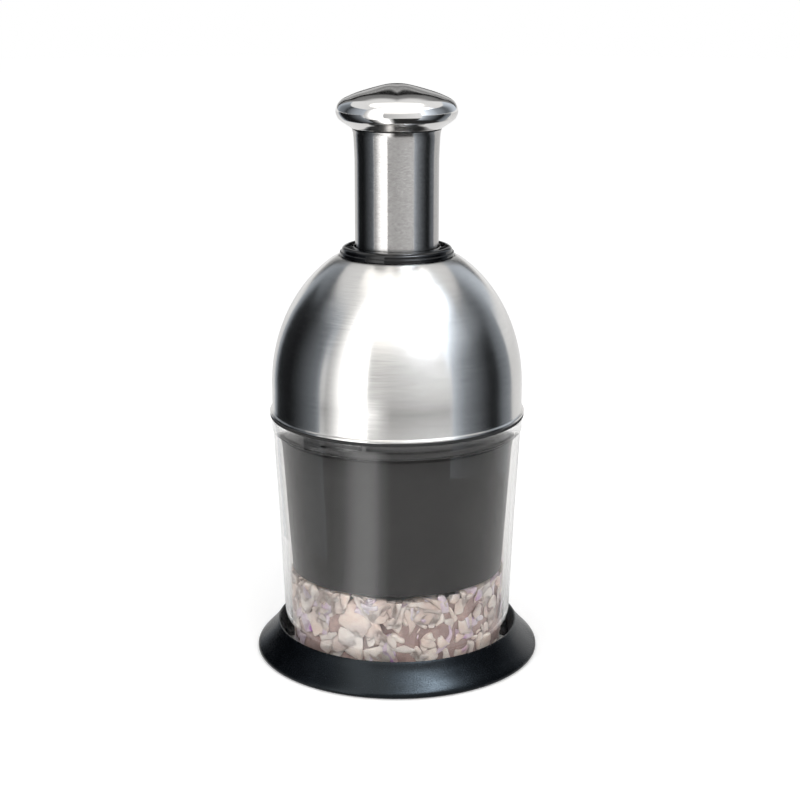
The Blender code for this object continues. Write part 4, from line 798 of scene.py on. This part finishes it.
def make_looks():
    """Every material, by the name of its slot or of its onion heap."""
    return {
        "base_black": moulded_plastic(
            "base_black", (0.0012, 0.0016, 0.0024), (0.0035, 0.0045, 0.0065), roughness=0.25,
            texture_scale=2600.0, texture_depth=0.000012, spread=0.09, shine=0.25,
            shine_tint=(0.80, 0.92, 1.0)),
        "rubber_black": moulded_plastic(
            "rubber_black", (0.010, 0.010, 0.010), (0.020, 0.019, 0.018), roughness=0.80,
            texture_scale=1500.0, texture_depth=0.0001),
        "board_white": cutting_board("board_white"),
        "clear_plastic": clear_plastic("clear_plastic"),
        "dome_steel": brushed_steel(
            "dome_steel", (0.58, 0.57, 0.56), (0.68, 0.67, 0.65), roughness=0.22, line_depth=0.000012),
        "gloss_black": moulded_plastic(
            "gloss_black", (0.001, 0.001, 0.0014), (0.003, 0.003, 0.004), roughness=0.07,
            texture_scale=500.0, texture_depth=0.000010, spread=0.03, shine=0.34),
        "liner_black": moulded_plastic(
            "liner_black", (0.003, 0.003, 0.0035), (0.007, 0.007, 0.008), roughness=0.10,
            texture_scale=500.0, texture_depth=0.000010, spread=0.03, shine=0.50),
        "plastic_black": moulded_plastic(
            "plastic_black", (0.016, 0.016, 0.016), (0.032, 0.031, 0.030), roughness=0.46,
            texture_scale=1800.0, texture_depth=0.00005),
        "acetal_natural": moulded_plastic(
            "acetal_natural", (0.68, 0.67, 0.62), (0.74, 0.73, 0.69), roughness=0.38,
            texture_scale=900.0, texture_depth=0.00003),
        "hardware_steel": plain_steel(
            "hardware_steel", (0.47, 0.47, 0.48), roughness=0.30, stretch=(1, 1, 6)),
        "sleeve_dark": moulded_plastic(
            "sleeve_dark", (0.011, 0.0103, 0.0106), (0.020, 0.0186, 0.0186), roughness=0.36,
            texture_scale=3200.0, texture_depth=0.000004, spread=0.04, shine=0.18),
        "tube_steel": brushed_steel(
            "tube_steel", (0.35, 0.34, 0.33), (0.54, 0.53, 0.52), roughness=0.17, line_depth=0.000006,
            along=700),
        "knob_steel": polished_steel("knob_steel"),
        "blade_steel": honed_blade("blade_steel", foot=0.0395, width=0.0022),
        # The mass behind the flakes gets darker flesh: painted shade for the gaps between the flakes.
        "chopped_onion_bed_painted_shade": onion_flesh(
            "onion_bed_painted_shade", pale=(0.64, 0.48, 0.43), deep=(0.38, 0.28, 0.26), skin=(0.50, 0.32, 0.38),
            skin_share=0.05),
        "chopped_onion_pale": onion_flesh(
            "onion_pale", pale=(0.93, 0.82, 0.73), deep=(0.78, 0.60, 0.52), skin=(0.55, 0.36, 0.46),
            skin_share=0.08),
        "chopped_onion_lilac": onion_flesh(
            "onion_lilac", pale=(0.93, 0.82, 0.86), deep=(0.74, 0.56, 0.66), skin=(0.38, 0.12, 0.44),
            skin_share=0.50),
    }


# Studio

def glowing(name, levels, axis="Y", tint=WHITE, soft=()):
    """Emission for a reflection card, with a level for each share of its run along a UV axis.

    Each soft edge is the share of the card's depth where it starts, where it ends, and its last level.
    """
    surface = bpy.data.materials.new(name)
    surface.use_nodes = True
    tree = surface.node_tree
    tree.nodes.clear()
    source = node(tree, "ShaderNodeTexCoord")
    parts = node(tree, "ShaderNodeSeparateXYZ", None, Vector=source.outputs["UV"])
    ramp = node(tree, "ShaderNodeFloatCurve", None, Value=parts.outputs[axis])
    curve = ramp.mapping.curves[0]
    ramp.mapping.use_clip = False
    peak = max(level for _, level in levels)
    for point, (share, level) in zip(curve.points, (levels[0], levels[-1])):
        point.location = (share, level / peak)
    for share, level in levels[1:-1]:
        curve.points.new(share, level / peak)
    for point in curve.points:
        point.handle_type = "VECTOR"
    ramp.mapping.update()
    level = maths(tree, "MULTIPLY", ramp.outputs["Value"], peak)
    for start, end, last in soft:
        share = span(tree, parts.outputs["Y"], 0.0, 1.0, start, end)
        kept = maths(tree, "MULTIPLY", level, maths(tree, "SUBTRACT", 1.0, share))
        level = maths(tree, "ADD", kept, maths(tree, "MULTIPLY", share, last))
    light = node(tree, "ShaderNodeEmission", None, Color=opaque(tint), Strength=level)
    output = node(tree, "ShaderNodeOutputMaterial")
    link(tree, light.outputs["Emission"], output.inputs["Surface"])
    return surface


def round_about(name, stops, tint=WHITE, soft=()):
    """First and last angle of stops of (degrees, level), and a glowing surface that follows them."""
    start, end = stops[0][0], stops[-1][0]
    levels = tuple(((turn - start) / (end - start), level) for turn, level in stops)
    return start, end, glowing(name, levels, "X", tint, soft)


def card_across(turn):
    """Way out from the axis at a turn in degrees, counted from the camera side to +X."""
    turn = math.radians(turn)
    return Vector((math.sin(turn), -math.cos(turn), 0))


def reflection_card(name, reach, start, end, foot, top, surface, droop=0.0, lean=0.0):
    """Upright card round the object. Its top edge can droop to both ends, and lean in."""
    pairs = []
    for step in range(CARD_STEPS + 1):
        turn = start + (end - start) * step / CARD_STEPS
        fall = droop * abs(turn - (start + end) / 2)
        across = card_across(turn)
        pairs.append([(across * reach + Vector((0, 0, foot)), step / CARD_STEPS, fall / (top - foot)),
                      (across * (reach - lean) + Vector((0, 0, top - fall)), step / CARD_STEPS, 1.0)])
    return only_reflected(name, pairs, surface)


def floor_card(name, near, far, start, end, surface, lift=0.0004, steps=FLOOR_CARD_STEPS):
    """Flat sector on the floor, or at another height."""
    pairs = []
    for step in range(steps + 1):
        across = card_across(start + (end - start) * step / steps)
        pairs.append([(across * reach + Vector((0, 0, lift)), step / steps, share)
                      for share, reach in enumerate((near, far))])
    return only_reflected(name, pairs, surface)


def only_reflected(name, pairs, surface):
    """Card that only reflections see, from pairs of points that have a place and two UV shares."""
    work = bmesh.new()
    layer = work.loops.layers.uv.new("UVMap")
    rungs = [[(work.verts.new(spot), *shares) for spot, *shares in pair] for pair in pairs]
    for here, there in zip(rungs, rungs[1:]):
        corners = (here[0], there[0], there[1], here[1])
        face = work.faces.new([corner[0] for corner in corners])
        for loop, (_, along, up) in zip(face.loops, corners):
            loop[layer].uv = (along, up)
    card = added(name, work)
    card.data.materials.append(surface)
    card.visible_camera = False
    card.visible_diffuse = False
    card.visible_transmission = False
    card.visible_shadow = False
    return card


def build_stage():
    """White floor and world, soft lamps, and cards that only the reflections see."""
    floor_work = bmesh.new()
    bmesh.ops.create_circle(floor_work, cap_ends=True, segments=64, radius=FLOOR_RADIUS)
    floor = added("floor", floor_work)
    surface, tree, inputs = finish("floor_white", Roughness=0.85, Specular_IOR_Level=0.0,
                                   Emission_Color=(1, 1, 1, 1))
    mottle = grain(tree, place(tree), 6.0, 3.0)
    link(tree, blended(tree, mottle, opaque((0.93, 0.93, 0.93)), opaque((0.95, 0.95, 0.95))),
         inputs["Base Color"])
    rays = node(tree, "ShaderNodeLightPath")
    glow = maths(tree, "MULTIPLY", rays.outputs["Is Camera Ray"], FLOOR_GLOW)
    link(tree, glow, inputs["Emission Strength"])
    floor.data.materials.append(surface)

    world = bpy.data.worlds.new("studio")
    bpy.context.scene.world = world
    world.use_nodes = True
    world.cycles.sampling_method = "NONE"
    tree = world.node_tree
    rays = node(tree, "ShaderNodeLightPath")
    seen = maths(tree, "MAXIMUM", rays.outputs["Is Camera Ray"],
                 maths(tree, "MAXIMUM", rays.outputs["Is Glossy Ray"], rays.outputs["Is Transmission Ray"]))
    back = tree.nodes["Background"]
    back.inputs["Color"].default_value = (1, 1, 1, 1)
    link(tree, span(tree, seen, WORLD_LIGHT, WORLD_SEEN), back.inputs["Strength"])

    lamp("key", (0.45, -0.95, 1.25), size=0.9, power=5.0, colour=(1.0, 0.985, 0.96))
    lamp("fill", (-1.10, -0.65, 0.85), size=0.9, power=3.0, colour=(0.98, 0.99, 1.0))

    build_cards()


def build_cards():
    """Cards that give the metal and the gloss their dark and bright strips."""
    stops = ((-133, 0.55), (-127, 0.32), (-122, 0.02), (-99, 0.01), (-92, 0.03), (-84, 0.08), (-75, 0.16),
             (-67, 0.25), (-62, 0.50))
    start, end, glow = round_about("left_dark", stops, COOL)
    reflection_card("left_dark", 0.16, start, end, 0.0, 0.226, glow)
    stops = ((-62, 0.6), (-56, 1.0), (-49, 1.9), (-42, 2.6), (-25, 2.8))
    start, end, glow = round_about("left_bright", stops)
    reflection_card("left_bright", 0.30, start, end, 0.0, 0.30, glow)
    reflection_card("left_overhead", 0.30, start, end, 0.30, 0.80, glow, lean=0.24)
    stops = ((-148, 0.65), (-133, 0.30), (-117, 0.20), (-108, 0.06), (-100, 0.20), (-92, 0.34), (-80, 0.50),
             (-70, 0.58), (-62, 0.75))
    start, end, glow = round_about("sky_left", stops, COOL)
    reflection_card("sky_left", 0.45, start, end, 0.235, 0.56, glow)
    stops = ((46, 0.85), (52, 0.55), (58, 0.34), (67, 0.20), (78, 0.08), (86, 0.02), (94, 0.02), (103, 0.21),
             (118, 0.38))
    start, end, glow = round_about("right_dark", stops, COOL)
    reflection_card("right_dark", 0.26, start, end, 0.0, 0.226, glow)
    stops = ((46, 2.2), (58, 1.3), (66, 0.95), (74, 0.70), (82, 0.42), (94, 0.30), (106, 0.16), (114, 0.22),
             (130, 0.65), (148, 0.90))
    start, end, glow = round_about("sky_right", stops, COOL)
    reflection_card("sky_right", 0.45, start, end, 0.240, 0.56, glow)
    levels = ((0.0, 0.02), (0.16, 0.02), (0.24, 0.60), (0.36, 0.60), (0.40, 0.30), (0.480, 0.30),
              (0.495, 0.60), (0.513, 0.60), (0.523, 0.01), (0.615, 0.01), (0.66, 0.22), (0.85, 0.28),
              (1.0, 1.10))
    reflection_card("back_arch", 0.50, 148, 212, 0.24, 1.0, glowing("back_arch", levels), droop=0.0125)
    stops = ((-25, 0.62), (-14, 0.76), (10, 0.86), (32, 0.97), (46, 1.03))
    start, end, glow = round_about("front_grey", stops)
    reflection_card("front_grey", 0.62, start, end, 0.0, 0.40, glow)
    levels = ((0.0, 1.6), (0.12, 2.4), (1.0, 2.7))
    reflection_card("top_glow", 0.55, -25, 46, 0.44, 1.35, glowing("top_glow", levels, "Y", WARM))
    levels = ((0.0, 1.9), (1.0, 1.9))
    floor_card("zenith", 0.0, 0.62, -180, 180, glowing("zenith", levels, "Y", WARM), lift=1.36)
    stops = ((-8, 2.2), (10, 8.0), (26, 25.0), (50, 28.0), (66, 8.0), (88, 1.0))
    start, end, glow = round_about("key_glow", stops, COOL, soft=((0.45, 0.0, 1.8),))
    reflection_card("key_glow", 0.54, start, end, 0.63, 0.98, glow)
    build_floor_cards()


def build_floor_cards():
    """Cards on the floor: dark ones that the gloss and the foot of the dome mirror, and a bright strip."""
    stops = ((-180, 0.9), (-132, 0.9), (-108, 0.03), (108, 0.03), (132, 0.9), (180, 0.9))
    start, end, glow = round_about("floor_dark", stops, soft=((0.80, 1.0, 0.95),))
    floor_card("floor_dark", 0.072, 0.50, start, end, glow)
    stops = ((-100, 0.95), (-66, 0.03), (66, 0.03), (100, 0.95))
    start, end, glow = round_about("floor_shade", stops, soft=((0.31, 0.0, 0.95), (0.69, 1.0, 0.95)))
    shade = floor_card("floor_shade", 0.26, 0.52, start, end, glow, lift=0.0002)
    # The cup's band bends the view down to the floor, so this card is seen through the cup as well
    shade.visible_transmission = True
    stops = ((-58, 0.03), (-47, 0.5), (-34, 2.4), (-25, 2.7), (-19, 2.3), (-14, 1.0), (-6, 0.03))
    start, end, glow = round_about("floor_strip", stops, soft=((0.76, 1.0, 0.8),))
    floor_card("floor_strip", 0.075, 0.48, start, end, glow, lift=0.0008, steps=24)


def lamp(name, centre, size, power, colour):
    """Square lamp that faces the object and that no reflection shows."""
    data = bpy.data.lights.new(name, "AREA")
    data.shape = "SQUARE"
    data.size = size
    data.energy = power
    data.color = colour
    item = bpy.data.objects.new(name, data)
    item.location = centre
    item.rotation_euler = (Vector(centre) - Vector(LAMP_AIM)).to_track_quat("Z", "Y").to_euler()
    item.visible_glossy = False
    bpy.context.scene.collection.objects.link(item)


def build_camera():
    data = bpy.data.cameras.new("camera")
    data.lens = CAMERA_LENS
    data.sensor_width = CAMERA_SENSOR
    item = bpy.data.objects.new("camera", data)
    item.location = CAMERA_PLACE
    item.rotation_euler = (CAMERA_PITCH, 0, 0)
    bpy.context.scene.collection.objects.link(item)
    bpy.context.scene.camera = item
    bpy.context.scene.view_settings.view_transform = "Standard"


looks = make_looks()
dress_hidden_nodes(looks)
for build in (build_base, build_cup, build_dome, build_liner, build_collar, build_plunger, build_sleeve,
              build_spring, build_onion):
    build(looks)
build_stage()
build_camera()
